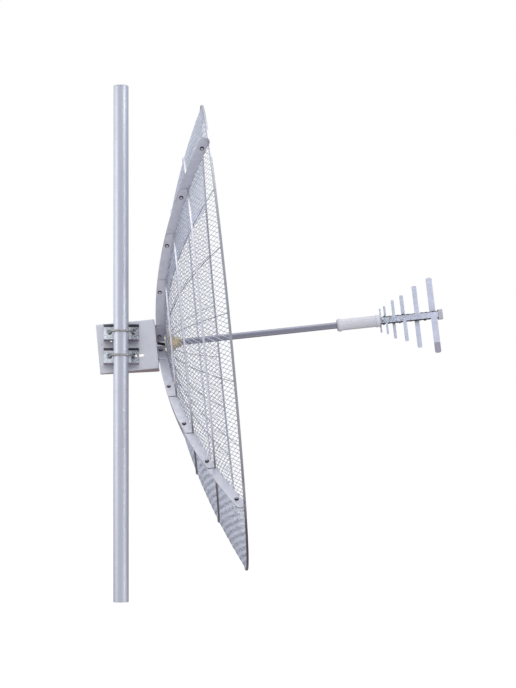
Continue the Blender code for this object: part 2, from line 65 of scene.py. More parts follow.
DISH_RISE = math.radians(5.3)
BOOM_RISE = math.radians(0.58)
HERE = Matrix.Identity(4)
DISH_FRAME = Matrix.Translation((0.1402, 0.105, LEVEL)) @ Matrix.Rotation(-DISH_RISE, 4, "Y")
BOOM_FRAME = DISH_FRAME @ Matrix.Rotation(-BOOM_RISE, 4, "Y")


class Value:
    """A socket of a shader on which Python's arithmetic adds Math nodes."""

    def __init__(self, shader: "Shader", socket: bpy.types.NodeSocket) -> None:
        """Keeps the socket and the shader whose nodes it belongs to."""
        self.shader = shader
        self.socket = socket

    def maths(self, operation: str, *operands: "Value | float", clamp: bool = False) -> "Value":
        """Adds a Math node.

        Args:
            operation: the node's operation.
            *operands: its inputs in order.
            clamp: whether the result stays between 0 and 1.

        Returns:
            The node's result.
        """
        settings = {"operation": operation, "use_clamp": clamp}
        return self.shader.node("ShaderNodeMath", settings, dict(enumerate(operands)))["Value"]

    def __add__(self, other: "Value | float") -> "Value":
        """Returns self + other."""
        return self.maths("ADD", self, other)

    __radd__ = __add__

    def __sub__(self, other: "Value | float") -> "Value":
        """Returns self - other."""
        return self.maths("SUBTRACT", self, other)

    def __rsub__(self, other: "Value | float") -> "Value":
        """Returns other - self."""
        return self.maths("SUBTRACT", other, self)

    def __mul__(self, other: "Value | float") -> "Value":
        """Returns self * other."""
        return self.maths("MULTIPLY", self, other)

    __rmul__ = __mul__

    def __truediv__(self, other: "Value | float") -> "Value":
        """Returns self / other."""
        return self.maths("DIVIDE", self, other)

    def __rtruediv__(self, other: "Value | float") -> "Value":
        """Returns other / self."""
        return self.maths("DIVIDE", other, self)

    def __pow__(self, other: "Value | float") -> "Value":
        """Returns self ** other."""
        return self.maths("POWER", self, other)

    def __rpow__(self, other: "Value | float") -> "Value":
        """Returns other ** self."""
        return self.maths("POWER", other, self)

    def __neg__(self) -> "Value":
        """Returns -self."""
        return self.maths("MULTIPLY", self, -1.0)

    def __abs__(self) -> "Value":
        """Returns the value without its sign."""
        return self.maths("ABSOLUTE", self)

    def larger(self, other: "Value | float") -> "Value":
        """Returns the larger of self and other."""
        return self.maths("MAXIMUM", self, other)

    def hypotenuse(self, other: "Value") -> "Value":
        """Returns how far from 0 a point is whose coordinates are self and other."""
        return (self * self + other * other) ** 0.5

    def zigzag(self, step: float) -> "Value":
        """Returns the value folded to and fro between 0 and a step."""
        return self.maths("PINGPONG", self, step)

    def clamped(self) -> "Value":
        """Returns the value kept between 0 and 1."""
        return self.maths("ADD", self, 0.0, clamp=True)

    def above(self, threshold: float, softness: float) -> "Value":
        """Returns 0 below the threshold and 1 above it, with a soft step of the given width."""
        return ((self - (threshold - softness / 2)) / softness).clamped()


class Outputs:
    """The outputs of a node by name."""

    def __init__(self, shader: "Shader", made: bpy.types.Node) -> None:
        """Keeps the node and the shader that it belongs to."""
        self.shader = shader
        self.made = made

    def __getitem__(self, name: "str | int") -> Value:
        """Returns an output as a value."""
        found = [socket for socket in self.made.outputs if socket.enabled and socket.name == name]
        return Value(self.shader, found[0] if found else self.made.outputs[name])


class Nodes:
    """The nodes of a material or of the surroundings."""

    def __init__(self, tree: bpy.types.NodeTree) -> None:
        """Keeps the node tree."""
        self.tree = tree

    def node(self, kind: str, settings: dict, inputs: dict) -> Outputs:
        """Adds one node.

        Args:
            kind: the node's type.
            settings: its attributes, set first. A list under "stops" holds a ramp's
                (position, colour) pairs.
            inputs: the values or links of its sockets, by name or by number.

        Returns:
            The node's outputs.
        """
        made = self.tree.nodes.new(kind)
        for key, setting in settings.items():
            if key == "stops":
                ramp = made.color_ramp
                while len(ramp.elements) < len(setting):
                    ramp.elements.new(0.5)
                for element, (position, colour) in zip(ramp.elements, setting):
                    element.position = position
                    element.color = (*colour, 1.0)
            else:
                setattr(made, key, setting)
        for key, value in inputs.items():
            self.join(made, key, value)
        return Outputs(self, made)

    def join(
        self, made: bpy.types.Node, key: "str | int", value: "Value | float | Sequence[float]"
    ) -> None:
        """Links a value to a node's input, or sets the input to a plain number or colour.

        Args:
            made: the node.
            key: the input's name or number.
            value: what it gets.
        """
        usable = [socket for socket in made.inputs if socket.enabled and socket.name == key]
        socket = usable[0] if usable else made.inputs[key]
        if isinstance(value, Value):
            self.tree.links.new(value.socket, socket)
        elif socket.type == "RGBA":
            socket.default_value = (*value, 1.0)
        else:
            socket.default_value = value

    def mix(
        self, factor: "Value | float", first: "Value | Colour", second: "Value | Colour"
    ) -> Value:
        """Returns a colour between two colours."""
        inputs = {"Factor": factor, "A": first, "B": second}
        return self.node("ShaderNodeMix", {"data_type": "RGBA"}, inputs)["Result"]

    def parts(self, vector: Value) -> tuple[Value, Value, Value]:
        """Returns the three parts of a vector."""
        made = self.node("ShaderNodeSeparateXYZ", {}, {"Vector": vector})
        return made["X"], made["Y"], made["Z"]


class Shader(Nodes):
    """The nodes of one material, whose coordinates are metres in the antenna's own frame."""

    def __init__(self, name: str) -> None:
        """Makes the material and its Principled shader.

        Args:
            name: the material's name.
        """
        self.material = bpy.data.materials.new(name)
        self.material.use_nodes = True
        super().__init__(self.material.node_tree)
        self.principled = self.tree.nodes["Principled BSDF"]
        self.place = self.node("ShaderNodeTexCoord", {}, {})["Object"]

    def local(self, place: Matrix) -> tuple[Value, Value, Value]:
        """Returns the coordinates in a frame that is turned about Y only.

        Args:
            place: the frame.

        Returns:
            The three coordinates.
        """
        inputs = {"Vector": self.place, "Location": place.translation, "Rotation": place.to_euler()}
        made = self.node("ShaderNodeMapping", {"vector_type": "TEXTURE"}, inputs)
        return self.parts(made["Vector"])

    def facing(self) -> tuple[Value, Value, Value]:
        """Returns the parts of the surface's direction in the antenna's own frame."""
        return self.parts(self.node("ShaderNodeTexCoord", {}, {})["Normal"])

    def base_colour(self) -> Value:
        """Returns the colour that the Principled shader has been given so far."""
        return Value(self, self.principled.inputs["Base Color"].links[0].from_socket)

    def surface(self, **inputs: "Value | float | Sequence[float]") -> None:
        """Sets or links the Principled shader's inputs, whose names have underscores for spaces."""
        for key, value in inputs.items():
            self.join(self.principled, key.replace("_", " "), value)

    def noise(
        self, scale: float, detail: float = 2.0, stretch: Point = (1, 1, 1), turn: float = 0.0
    ) -> Value:
        """Adds a noise pattern.

        Args:
            scale: features per metre.
            detail: octaves of finer noise.
            stretch: how much finer the pattern is along each axis.
            turn: how far the axes are turned about Y, in radians.

        Returns:
            The pattern, about 0.5 on average.
        """
        inputs = {"Vector": self.turned(stretch, turn), "Scale": scale, "Detail": detail}
        return self.node("ShaderNodeTexNoise", {"noise_dimensions": "3D"}, inputs)["Fac"]

    def scaled(self, colour: Value, share: float) -> Value:
        """Returns a colour made darker to a share of itself."""
        inputs = {0: colour, "Scale": share}
        return self.node("ShaderNodeVectorMath", {"operation": "SCALE"}, inputs)["Vector"]

    def cells(self, scale: float) -> Value:
        """Returns a pattern of flat cells, so many per metre, each with a shade of its own."""
        made = self.node("ShaderNodeTexVoronoi", {}, {"Vector": self.place, "Scale": scale})
        return self.node("ShaderNodeSeparateColor", {}, {"Color": made["Color"]})["Red"]

    def turned(self, stretch: Point, turn: float) -> Value:
        """Turns the coordinates about Y, then stretches them.

        Args:
            stretch: the factor along each axis.
            turn: the angle in radians.

        Returns:
            The new coordinates.
        """
        inputs = {"Vector": self.place, "Rotation": (0.0, turn, 0.0)}
        rotated = self.node("ShaderNodeMapping", {"vector_type": "TEXTURE"}, inputs)["Vector"]
        inputs = {0: rotated, 1: tuple(stretch)}
        return self.node("ShaderNodeVectorMath", {"operation": "MULTIPLY"}, inputs)["Vector"]

    def bump(self, height: Value, depth: float, strength: float = 1.0) -> Value:
        """Returns a normal bent by a height pattern.

        Args:
            height: the pattern, 0 to 1.
            depth: what a full step of the pattern is in metres.
            strength: the share of the effect.

        Returns:
            The normal.
        """
        inputs = {"Height": height, "Distance": depth, "Strength": strength}
        return self.node("ShaderNodeBump", {}, inputs)["Normal"]


def toned(colour: Colour, share: float) -> Colour:
    """Returns a colour made darker or paler to a share of itself."""
    return tuple(min(1.0, share * part) for part in colour)


@dataclass(frozen=True)
class Finish:
    """What every finish has: its material's name, its record slot and its main colour."""

    name: str
    slot: str
    colour: Colour

    def dress(self, shader: Shader) -> None:
        """Adds the finish's pattern to a new shader.

        Args:
            shader: the nodes of the new material.
        """
        raise NotImplementedError

    def material(self) -> bpy.types.Material:
        """Makes the material of this finish, or finds the one already made.

        Returns:
            The material.
        """
        found = bpy.data.materials.get(self.name)
        if found:
            return found
        shader = Shader(self.name)
        self.dress(shader)
        return shader.material


@dataclass(frozen=True)
class PlatedSteel(Finish):
    """Bright or dull zinc on steel, clouded, with fine scratches and a faint second tint."""

    tint: Colour = (0.60, 0.62, 0.72)
    roughness: float = 0.34
    cloud: float = 60.0

    def dress(self, shader: Shader) -> None:
        """Adds clouds of the second tint, uneven gloss and a fine grain.

        Args:
            shader: the nodes of the new material.
        """
        clouds = shader.noise(self.cloud, 3.0).above(0.52, 0.25)
        specks = shader.noise(1900.0, 1.0)
        tinted = shader.mix(clouds * 0.6, self.colour, self.tint)
        shader.surface(
            Base_Color=shader.mix(specks.above(0.60, 0.2) * 0.35, tinted, toned(self.colour, 0.86)),
            Metallic=1.0,
            Roughness=clouds * 0.10 + specks * 0.08 + (self.roughness - 0.07),
            Normal=shader.bump(specks, 0.00004),
        )


@dataclass(frozen=True)
class Galvanised(Finish):
    """Hot-dip zinc with dull flakes, for the sheets of mesh.

    The rows of bonds lie half a cell's length apart along each petal. The sheet is longer than the
    dish is deep, so the rows are stretched a little with the distance from the middle.
    """

    roughness: float = 0.46
    pale: Colour = (0.68, 0.71, 0.78)
    deep: Colour = (0.30, 0.31, 0.37)
    row: float = 0.0205
    stretch: float = 0.075
    drift: float = 0.016
    slant: float = 0.09

    def dress(self, shader: Shader) -> None:
        """Adds flakes, dark dashes on a paler part low down, and a paler upper part as painted
        light.

        Args:
            shader: the nodes of the new material.
        """
        flakes = shader.cells(210.0)
        grime = shader.noise(35.0, 3.0).above(0.55, 0.3)
        dark, light = toned(self.colour, 0.80), toned(self.colour, 1.12)
        _, across, height = shader.local(DISH_FRAME)
        aside = abs(across)
        along = aside.larger(abs(height))
        along = along * ((across * across + height * height) * self.stretch + 1)
        uneven = shader.noise(70.0, 3.0) * self.drift + aside * self.slant
        strands = (along + uneven).zigzag(self.row / 2).above(self.row / 4, self.row / 4)
        dashes = strands * shader.noise(170.0, 2.0).above(0.48, 0.12)
        low = 1 - height.above(-0.30, 0.20)
        zinc = shader.mix(low * 0.75, shader.mix(flakes, dark, light), self.pale)
        zinc = shader.mix(dashes * low, zinc, self.deep)
        # Painted light: the upper part of the dish is painted paler, as if lit from above.
        painted_light_top = shader.mix(height.above(0.42, 0.30) * 0.9, zinc, self.pale)
        shader.surface(
            Base_Color=shader.mix(grime * 0.3, painted_light_top, dark),
            Metallic=0.85,
            Roughness=flakes * 0.16 + (self.roughness - 0.08),
            Normal=shader.bump(flakes, 0.00003),
        )


@dataclass(frozen=True)
class DrawnTube(Finish):
    """Metal tube with fine streaks along its length, by default along Z."""

    roughness: float = 0.34
    metallic: float = 1.0
    streak: tuple[float, float, float] = (1.0, 1.0, 0.02)
    turn: float = 0.0
    fade: float = 0.12
    grain: float = 0.00003

    def dress(self, shader: Shader) -> None:
        """Adds streaks, larger soft bands and a faint grain.

        Args:
            shader: the nodes of the new material.
        """
        streaks = shader.noise(420.0, 3.0, self.streak, self.turn)
        bands = shader.noise(24.0, 2.0)
        worn = (streaks * 0.7 + bands * 0.5 - 0.1).clamped()
        shader.surface(
            Base_Color=shader.mix(worn, self.colour, toned(self.colour, 1.0 - self.fade)),
            Metallic=self.metallic,
            Roughness=streaks * 0.12 + bands * 0.08 + (self.roughness - 0.10),
            Normal=shader.bump(streaks, self.grain),
        )


@dataclass(frozen=True)
class PowderPaint(Finish):
    """Powder paint with an orange-peel surface and a little dust."""

    roughness: float = 0.42
    # Dark brown painted shade for faces that point down.
    painted_underside_shade: Colour = (0.20, 0.11, 0.10)

    def dress(self, shader: Shader) -> None:
        """Adds the orange peel, dust, a few darker rubs and a dark brown painted shade underneath.

        Args:
            shader: the nodes of the new material.
        """
        peel = shader.noise(520.0, 2.0)
        dust = shader.noise(18.0, 4.0).above(0.5, 0.4)
        rubs = shader.noise(90.0, 4.0).above(0.66, 0.08)
        _, _, up = shader.facing()
        # Painted shade: faces that point down are painted dark brown.
        under = (-up).above(0.80, 0.2) * 0.85
        painted = shader.mix(dust, self.colour, toned(self.colour, 0.93))
        painted = shader.mix(rubs * 0.5, painted, toned(self.colour, 0.82))
        shader.surface(
            Base_Color=shader.mix(under, painted, self.painted_underside_shade),
            Roughness=peel * 0.10 + dust * 0.08 + (self.roughness - 0.09),
            Normal=shader.bump(peel, 0.00010),
        )


@dataclass(frozen=True)
class YellowZinc(Finish):
    """Yellow passivated zinc, whose tint drifts from olive through gold to orange brown."""

    olive: Colour = (0.36, 0.37, 0.24)
    brown: Colour = (0.50, 0.26, 0.10)

    def dress(self, shader: Shader) -> None:
        """Adds the drifting tints and a fine grain.

        Args:
            shader: the nodes of the new material.
        """
        drift = shader.noise(42.0, 2.0)
        spots = shader.noise(160.0, 3.0)
        grain = shader.noise(1500.0, 1.0)
        tinted = shader.mix(drift.above(0.50, 0.22), self.olive, self.colour)
        shader.surface(
            Base_Color=shader.mix(spots.above(0.56, 0.2), tinted, self.brown),
            Metallic=0.9,
            Roughness=grain * 0.12 + 0.24,
            Normal=shader.bump(grain, 0.00003),
        )


@dataclass(frozen=True)
class MouldedPlastic(Finish):
    """Moulded plastic with a fine spark-eroded grain."""

    roughness: float = 0.40
    grain: float = 0.00004

    def dress(self, shader: Shader) -> None:
        """Adds the grain and faint flow marks.

        Args:
            shader: the nodes of the new material.
        """
        grain = shader.noise(1400.0, 2.0)
        flow = shader.noise(30.0, 3.0).above(0.5, 0.5) * 0.6
        shader.surface(
            Base_Color=shader.mix(flow, self.colour, toned(self.colour, 0.88)),
            Roughness=grain * 0.14 + (self.roughness - 0.07),
            Normal=shader.bump(grain, self.grain),
        )


@dataclass(frozen=True)
class PaintedShadeZinc(PlatedSteel):
    """Bright zinc with painted shade on back edges and, low on the dish, on undersides.

    tab is how bright the faces along a seam are, and rim how bright the dish's edge is: painted
    shade.
    """

    shade: Colour = (0.13, 0.10, 0.11)
    tab: float = 1.0
    rim: float = 1.0
    rim_start: float = 0.7468

    def dress(self, shader: Shader) -> None:
        """Adds the plating, then painted shade on the edge, back edges and undersides.

        Args:
            shader: the nodes of the new material.
        """
        super().dress(shader)
        plain = shader.base_colour()
        ahead, side, up = shader.facing()
        _, across, height = shader.local(DISH_FRAME)
        seamed = side * side * up * up
        beside = seamed.above(0.215, 0.03)
        plain = shader.mix(beside, plain, shader.scaled(plain, self.tab))
        # Painted shade: the dish's outer edge is painted darker by the rim share.
        edge = across.hypotenuse(height).above(self.rim_start, 0.001)
        edge = edge * (1 - seamed.above(0.240, 0.006))
        plain = shader.mix(edge, plain, shader.scaled(plain, self.rim))
        # Painted shade: faces pointing down low on the dish, and faces pointing back, are painted
        # dark.
        under = (-up).above(0.62, 0.40) * (1 - height.above(-0.05, 0.2))
        behind = (-ahead).above(0.85, 0.10)
        dark = (under + behind * 0.7).clamped() * 0.9
        shader.surface(Base_Color=shader.mix(dark, plain, self.shade))


@dataclass(frozen=True)
class HubZinc(PlatedSteel):
    """Zinc dull purple grey on the lugs, painted lighter below and near white round the line of
    sight as painted light.
    """

    # Near white painted light round the line of sight.
    white: Colour = (0.93, 0.93, 0.97)
    # Paler colour painted on the lower lugs as painted light.
    light: Colour = (0.70, 0.72, 0.77)
    reach: float = 0.0150

    def dress(self, shader: Shader) -> None:
        """Adds the plating, then painted light: paler lower lugs and a near-white spigot.

        Args:
            shader: the nodes of the new material.
        """
        super().dress(shader)
        _, side, up = shader.local(DISH_FRAME)
        # Painted light: lugs below the line of sight are painted paler than those above.
        plain = shader.mix(up.above(0.0, 0.01), self.light, shader.base_colour())
        # Painted light: round the line of sight the spigot is painted near white, as if lit from
        # behind.
        near = 1 - side.hypotenuse(up).above(self.reach, 0.001)
        shader.surface(
            Base_Color=shader.mix(near, plain, self.white),
            Metallic=1 - near * 0.95,
            Roughness=near * 0.3 + 0.4,
        )


@dataclass(frozen=True)
class FeedSheet(Finish):
    """Pale anodised sheet with dark and teal oxide speckles, densest near the sleeve."""

    oxide: Colour = (0.22, 0.34, 0.36)
    grime: Colour = (0.10, 0.10, 0.11)
    tip: Colour = (0.26, 0.25, 0.31)
    tip_place: tuple[float, float] = (0.860, -0.0900)
    bar: float = 0.010

    def dress(self, shader: Shader) -> None:
        """Adds the speckles, and the dull lower end of the longest element.

        Args:
            shader: the nodes of the new material.
        """
        along, _, up = shader.local(BOOM_FRAME)
        near = 1 - along.above(0.800, 0.16)
        specks = shader.noise(420.0, 3.0)
        spots = specks.above(0.55, 0.06) * (near * 0.75 + 0.12)
        bar = 1 - abs(up).above(self.bar, 0.002)
        stains = shader.noise(230.0, 4.0).above(0.54, 0.08) * near * bar
        clouds = shader.noise(60.0, 3.0).above(0.5, 0.3)
        plain = shader.mix(clouds, self.colour, toned(self.colour, 1.10))
        spotted = shader.mix(stains * 0.8, shader.mix(spots, plain, self.oxide), self.grime)
        place, level = self.tip_place
        tip = along.above(place, 0.002) * (1 - up.above(level, 0.002))
        shader.surface(
            Base_Color=shader.mix(tip, spotted, self.tip),
            Metallic=0.35 - tip * 0.2,
            Roughness=specks * 0.14 + 0.36,
            Normal=shader.bump(specks, 0.00004),
        )


@dataclass(frozen=True)
class ClampZinc(Finish):
    """Bright zinc on a pressed channel, with painted shade under its top flange and on its bottom
    flange.

    low and high are the heights between which the channel stands.
    """

    low: float = 0.0
    high: float = 1.0
    hole_level: float = 0.0
    shadow: Colour = (0.030, 0.030, 0.045)
    # Purple painted shade for the bottom flange.
    cut: Colour = (0.24, 0.20, 0.27)
    # Painted shade: the dark ring round each rod hole.
    hole: Colour = (0.08, 0.13, 0.15)
    hole_reach: float = ROD_REACH + ROD_RADIUS
    hole_radius: float = 0.0082
    flange: float = 0.0030
    strip: float = 0.0052

    def dress(self, shader: Shader) -> None:
        """Adds painted shade by height, round the rod holes and on the crumpled marks from the
        teeth.

        Args:
            shader: the nodes of the new material.
        """
        along, _, height = shader.parts(shader.place)
        level = height + (shader.noise(260.0, 3.0) * 0.0022 - 0.0011)
        # Painted shadow: the top strip, the top flange and the web just under it, gets the shadow
        # colour; the bottom flange gets the purple cut colour as painted shade.
        top = level.above(self.high - self.strip, 0.0009)
        foot = 1 - level.above(self.low + self.flange, 0.0008)
        crumple = shader.noise(300.0, 2.0, (1.0, 1.0, 1.6))
        # Painted shade: on one end the crumpled marks are painted with the shadow colour.
        crumple_shade = crumple.above(0.46, 0.08) * along.above(0.030, 0.008)
        away = (abs(along) - self.hole_reach).hypotenuse(level - self.hole_level)
        clouds = shader.noise(150.0, 3.0).above(0.50, 0.1)
        zinc = shader.mix(clouds, self.colour, toned(self.colour, 1.35))
        # Painted shade: a dark ring round each rod hole.
        zinc = shader.mix(1 - away.above(self.hole_radius, 0.003), zinc, self.hole)
        zinc = shader.mix(crumple_shade * 0.8, zinc, self.shadow)
        zinc = shader.mix(foot, zinc, self.cut)
        shader.surface(
            Base_Color=shader.mix(top, zinc, self.shadow),
            Metallic=0.8,
            Roughness=crumple * 0.2 + 0.24,
            Normal=shader.bump(crumple, 0.0004, 0.5),
        )


class Finishes(Enum):
    """The finishes of this antenna, each named for its record slot."""

    MAST = DrawnTube(
        "mast_tube", "mast_steel", (0.59, 0.61, 0.68), roughness=0.42, fade=0.06, grain=0.000006
    )
    PAINT = PowderPaint("bracket_paint", "grey_paint", (0.56, 0.57, 0.62))
    ZINC = PlatedSteel("bright_zinc", "zinc", (0.55, 0.55, 0.60), (0.46, 0.47, 0.56))
    # The edge's 0.66 rim share is painted shade.
    EDGES = PaintedShadeZinc(
        "edge_zinc", "zinc", (0.62, 0.62, 0.67), (0.54, 0.55, 0.63), 0.42, rim=0.66
    )
    RIBS = PaintedShadeZinc(
        "rib_zinc", "zinc", (0.80, 0.80, 0.85), (0.68, 0.69, 0.77), 0.36, tab=0.78
    )
    BOLTS = PlatedSteel("bolt_zinc", "zinc", (0.56, 0.55, 0.60), (0.40, 0.39, 0.45), 0.30, 300.0)
    WASHERS = PlatedSteel(
        "washer_zinc", "zinc", (0.060, 0.050, 0.060), (0.030, 0.030, 0.040), 0.50, 300.0
    )
    RODS = PlatedSteel("rod_zinc", "zinc", (0.46, 0.45, 0.43), (0.18, 0.17, 0.18), 0.26, 160.0)
    LUGS = HubZinc("lug_zinc", "zinc", (0.50, 0.48, 0.54), (0.60, 0.59, 0.66), 0.40, 90.0)
    UPPER_SADDLE = ClampZinc(
        "upper_saddle_zinc", "zinc", (0.70, 0.74, 0.82), 0.8210, 0.8710,
        LEVEL + CLAMP_LEVELS["upper"],
    )
    LOWER_SADDLE = ClampZinc(
        "lower_saddle_zinc", "zinc", (0.70, 0.74, 0.82), 0.7455, 0.7955,
        LEVEL + CLAMP_LEVELS["lower"],
    )
    MESH = Galvanised("mesh_zinc", "galvanised", (0.50, 0.53, 0.62))
    WIRE = Galvanised("wire_zinc", "galvanised", (0.30, 0.30, 0.33))
    YELLOW = YellowZinc("yellow_passivated", "yellow_zinc", (0.62, 0.50, 0.20))
    BOOM = DrawnTube(
        "boom_tube", "boom_metal", (0.28, 0.28, 0.34), 0.34, 0.9, (0.02, 1.0, 1.0),
        DISH_RISE + BOOM_RISE,
    )
    PALE_PLASTIC = MouldedPlastic("pale_moulding", "pale_plastic", (0.66, 0.67, 0.72))
    BLACK_PLASTIC = MouldedPlastic("black_moulding", "black_plastic", (0.012, 0.012, 0.016), 0.62)
    FEED = FeedSheet("feed_sheet", "feed_metal", (0.47, 0.48, 0.58))
    SLEEVE = MouldedPlastic("sleeve_moulding", "pale_plastic", (0.49, 0.49, 0.53), 0.34)
    BLOCK = MouldedPlastic("block_moulding", "pale_plastic", (0.36, 0.36, 0.42), 0.45, 0.00010)


def finish_node(node: str, finish: Finishes) -> None:
    """Gives a CAD node its material.

    Args:
        node: the node's name.
        finish: its finish.
    """
    made = finish.value.material()
    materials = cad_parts[node].data.materials
    materials.clear()
    materials.append(made)
    LOG.info("node %s gets %s", node, made.name)


@dataclass
class Shape:
    """Points and faces of one piece, gathered in the piece's own frame."""

    points: list[Vector] = field(default_factory=list)
    faces: list[tuple[int, ...]] = field(default_factory=list)

    def sweep(self, rings: Sequence[Sequence[Point]], closed: bool = False) -> "Shape":
        """Adds a skin over rings of points, all of one length.

        Args:
            rings: the rings in order.
            closed: whether the last ring joins the first; otherwise both ends are capped.

        Returns:
            The shape itself.
        """
        size, start = len(rings[0]), len(self.points)
        self.points.extend(Vector(point) for ring in rings for point in ring)
        spans = len(rings) if closed else len(rings) - 1
        for i in range(spans):
            low, high = start + i * size, start + ((i + 1) % len(rings)) * size
            for j in range(size):
                after = (j + 1) % size
                self.faces.append((low + j, low + after, high + after, high + j))
        if not closed:
            self.faces.append(tuple(range(start, start + size)))
            last = start + (len(rings) - 1) * size
            self.faces.append(tuple(range(last, last + size)))
        return self

    def turned(self, profile: Profile, sides: int, place: Matrix = HERE) -> "Shape":
        """Adds a profile turned about the X axis of a place.

        Args:
            profile: (distance along the axis, radius) points; a radius of 0 closes an end.
            sides: how many flats go round.
            place: the frame whose X axis is the axis.

        Returns:
            The shape itself.
        """
        rows = []
        for distance, radius in profile:
            start, count = len(self.points), sides if radius > 0 else 1
            rows.append(range(start, start + count))
            for k in range(count):
                angle = 2 * math.pi * k / sides
                self.points.append(
                    place @ Vector((distance, radius * math.cos(angle), radius * math.sin(angle)))
                )
        pairs = list(zip(rows, rows[1:]))
        if profile[0][1] > 0:
            pairs.append((rows[-1], rows[0]))
        for low, high in pairs:
            for k in range(sides):
                after = (k + 1) % sides
                corners = (
                    low[k % len(low)], low[after % len(low)],
                    high[after % len(high)], high[k % len(high)],
                )
                self.faces.append(tuple(dict.fromkeys(corners)))
        return self

    def washer(
        self, radii: tuple[float, float], ends: tuple[float, float], edge: float, sides: int,
        place: Matrix,
    ) -> "Shape":
        """Adds a flat ring whose outer edges are turned down.

        Args:
            radii: the radius of its hole and its own.
            ends: where it starts and ends along the X axis of the place.
            edge: how far its outer edges are turned down.
            sides: how many flats go round.
            place: its frame.

        Returns:
            The shape itself.
        """
        (bore, radius), (low, high) = radii, ends
        profile = (
            (low, bore), (low, radius - edge), (low + edge, radius),
            (high - edge, radius), (high, radius - edge), (high, bore),
        )
        return self.turned(profile, sides, place)

    def tube(
        self, path: Sequence[Point], radius: Callable[[float, float], float], sides: int
    ) -> "Shape":
        """Adds a rod along a path, capped at both ends.

        Args:
            path: the points of its middle line.
            radius: the rod's radius from the distance along the path and the angle round it.
            sides: how many flats go round.

        Returns:
            The shape itself.
        """
        points = [Vector(point) for point in path]
        heading = (points[1] - points[0]).normalized()
        up = heading.orthogonal().normalized()
        rings, along = [], 0.0
        for k, point in enumerate(points):
            after, before = points[min(k + 1, len(points) - 1)], points[max(k - 1, 0)]
            heading = (after - before).normalized()
            up = (up - heading * up.dot(heading)).normalized()
            across = heading.cross(up)
            ring = []
            for j in range(sides):
                angle = 2 * math.pi * j / sides
                ray = up * math.cos(angle) + across * math.sin(angle)
                ring.append(point + ray * radius(along, angle))
            rings.append(ring)
            along += (after - point).length
        return self.sweep(rings)

    def hexagon(self, across: float, low: float, high: float, place: Matrix) -> "Shape":
        """Adds a hexagonal head or nut whose corners are turned down at both ends.

        Args:
            across: its width across the flats.
            low: where it starts along the X axis of the place.
            high: where it ends.
            place: its frame.

        Returns:
            The shape itself.
        """
        flat, sides, depth = across / 2, 24, 0.09 * across
        narrow, widening = 0.97, 0.19
        rings = []
        for distance, cut in (
            (low, 0.0), (low + depth / 2, 0.5), (low + depth, 1.0),
            (high - depth, 1.0), (high - depth / 2, 0.5), (high, 0.0),
        ):
            limit = flat * (narrow + widening * cut)
            ring = []
            for k in range(sides):
                angle = 2 * math.pi * k / sides
                inside = (angle + math.pi / 6) % (math.pi / 3) - math.pi / 6
                reach = min(flat / math.cos(inside), limit)
                corner = Vector((distance, reach * math.cos(angle), reach * math.sin(angle)))
                ring.append(place @ corner)
            rings.append(ring)
        return self.sweep(rings)

    def mesh(self, name: str) -> bpy.types.Mesh:
        """Makes the shape into a mesh whose faces point out.

        Args:
            name: the mesh's name.

        Returns:
            The mesh.
        """
        bm = bmesh.new()
        corners = [bm.verts.new(point) for point in self.points]
        for face in self.faces:
            bm.faces.new([corners[index] for index in face])
        bmesh.ops.recalc_face_normals(bm, faces=bm.faces)
        made = bpy.data.meshes.new(name)
        bm.to_mesh(made)
        bm.free()
        return made

    def prism(self, outline: Profile, ends: tuple[float, float], axes: str) -> "Shape":
        """Adds a flat outline drawn out between two depths.

        Args:
            outline: its corners along the first two axes.
            ends: where it starts and ends along the third axis.
            axes: the order of the axes, such as "xzy" for an outline in X and Z drawn out along Y.

        Returns:
            The shape itself.
        """
        order = ["xyz".index(axis) for axis in axes]
        rings = []
        for depth in ends:
            ring = []
            for first, second in outline:
                point = [0.0, 0.0, 0.0]
                for axis, part in zip(order, (first, second, depth)):
                    point[axis] = part
                ring.append(point)
            rings.append(ring)
        return self.sweep(rings)

    def piece(
        self, name: str, place: Matrix, finish: Finishes, angle: float = 35.0,
        replaced: Iterable[str] = (),
    ) -> bpy.types.Object:
        """Makes the shape into a piece of the antenna.

        Args:
            name: the piece's name.
            place: the frame that the points are in.
            finish: its finish.
            angle: faces that meet at less than this many degrees are shaded as one.
            replaced: CAD nodes that it stands for.

        Returns:
            The object, whose mesh is in the antenna's own frame.
        """
        return placed(name, self.mesh(name), place, finish, angle, replaced)


def placed(
    name: str, mesh: bpy.types.Mesh, place: Matrix, finish: Finishes, angle: float = 35.0,
    replaced: Iterable[str] = (),
) -> bpy.types.Object:
    """Moves a mesh from its frame into the antenna's, shades it and adds it as a piece.

    Args:
        name: the piece's name.
        mesh: its mesh.
        place: the frame that the mesh is in.
        finish: its finish.
        angle: faces that meet at less than this many degrees are shaded as one.
        replaced: CAD nodes that it stands for.

    Returns:
        The object.
    """
    mesh.transform(place)
    mesh.shade_smooth()
    mesh.set_sharp_from_angle(angle=math.radians(angle))
    return add_piece(name, mesh, finish, replaced)


def combined(
    first: bpy.types.Mesh, others: Sequence[bpy.types.Mesh], operation: str
) -> bpy.types.Mesh:
    """Joins a mesh with others, cuts them out of it, or keeps what lies inside them.

    Args:
        first: the mesh.
        others: the other closed meshes, taken in turn.
        operation: UNION, DIFFERENCE or INTERSECT.

    Returns:
        A new mesh.
    """
    things = []
    for mesh in (first, *others):
        thing = bpy.data.objects.new(mesh.name, mesh)
        bpy.context.scene.collection.objects.link(thing)
        if things:
            step = things[0].modifiers.new("step", "BOOLEAN")
            step.operation, step.solver, step.object = operation, "MANIFOLD", thing
        things.append(thing)
    bpy.context.view_layer.update()
    shaped = things[0].evaluated_get(bpy.context.evaluated_depsgraph_get())
    made = bpy.data.meshes.new_from_object(shaped)
    for thing in things:
        bpy.data.objects.remove(thing, do_unlink=True)
    return made


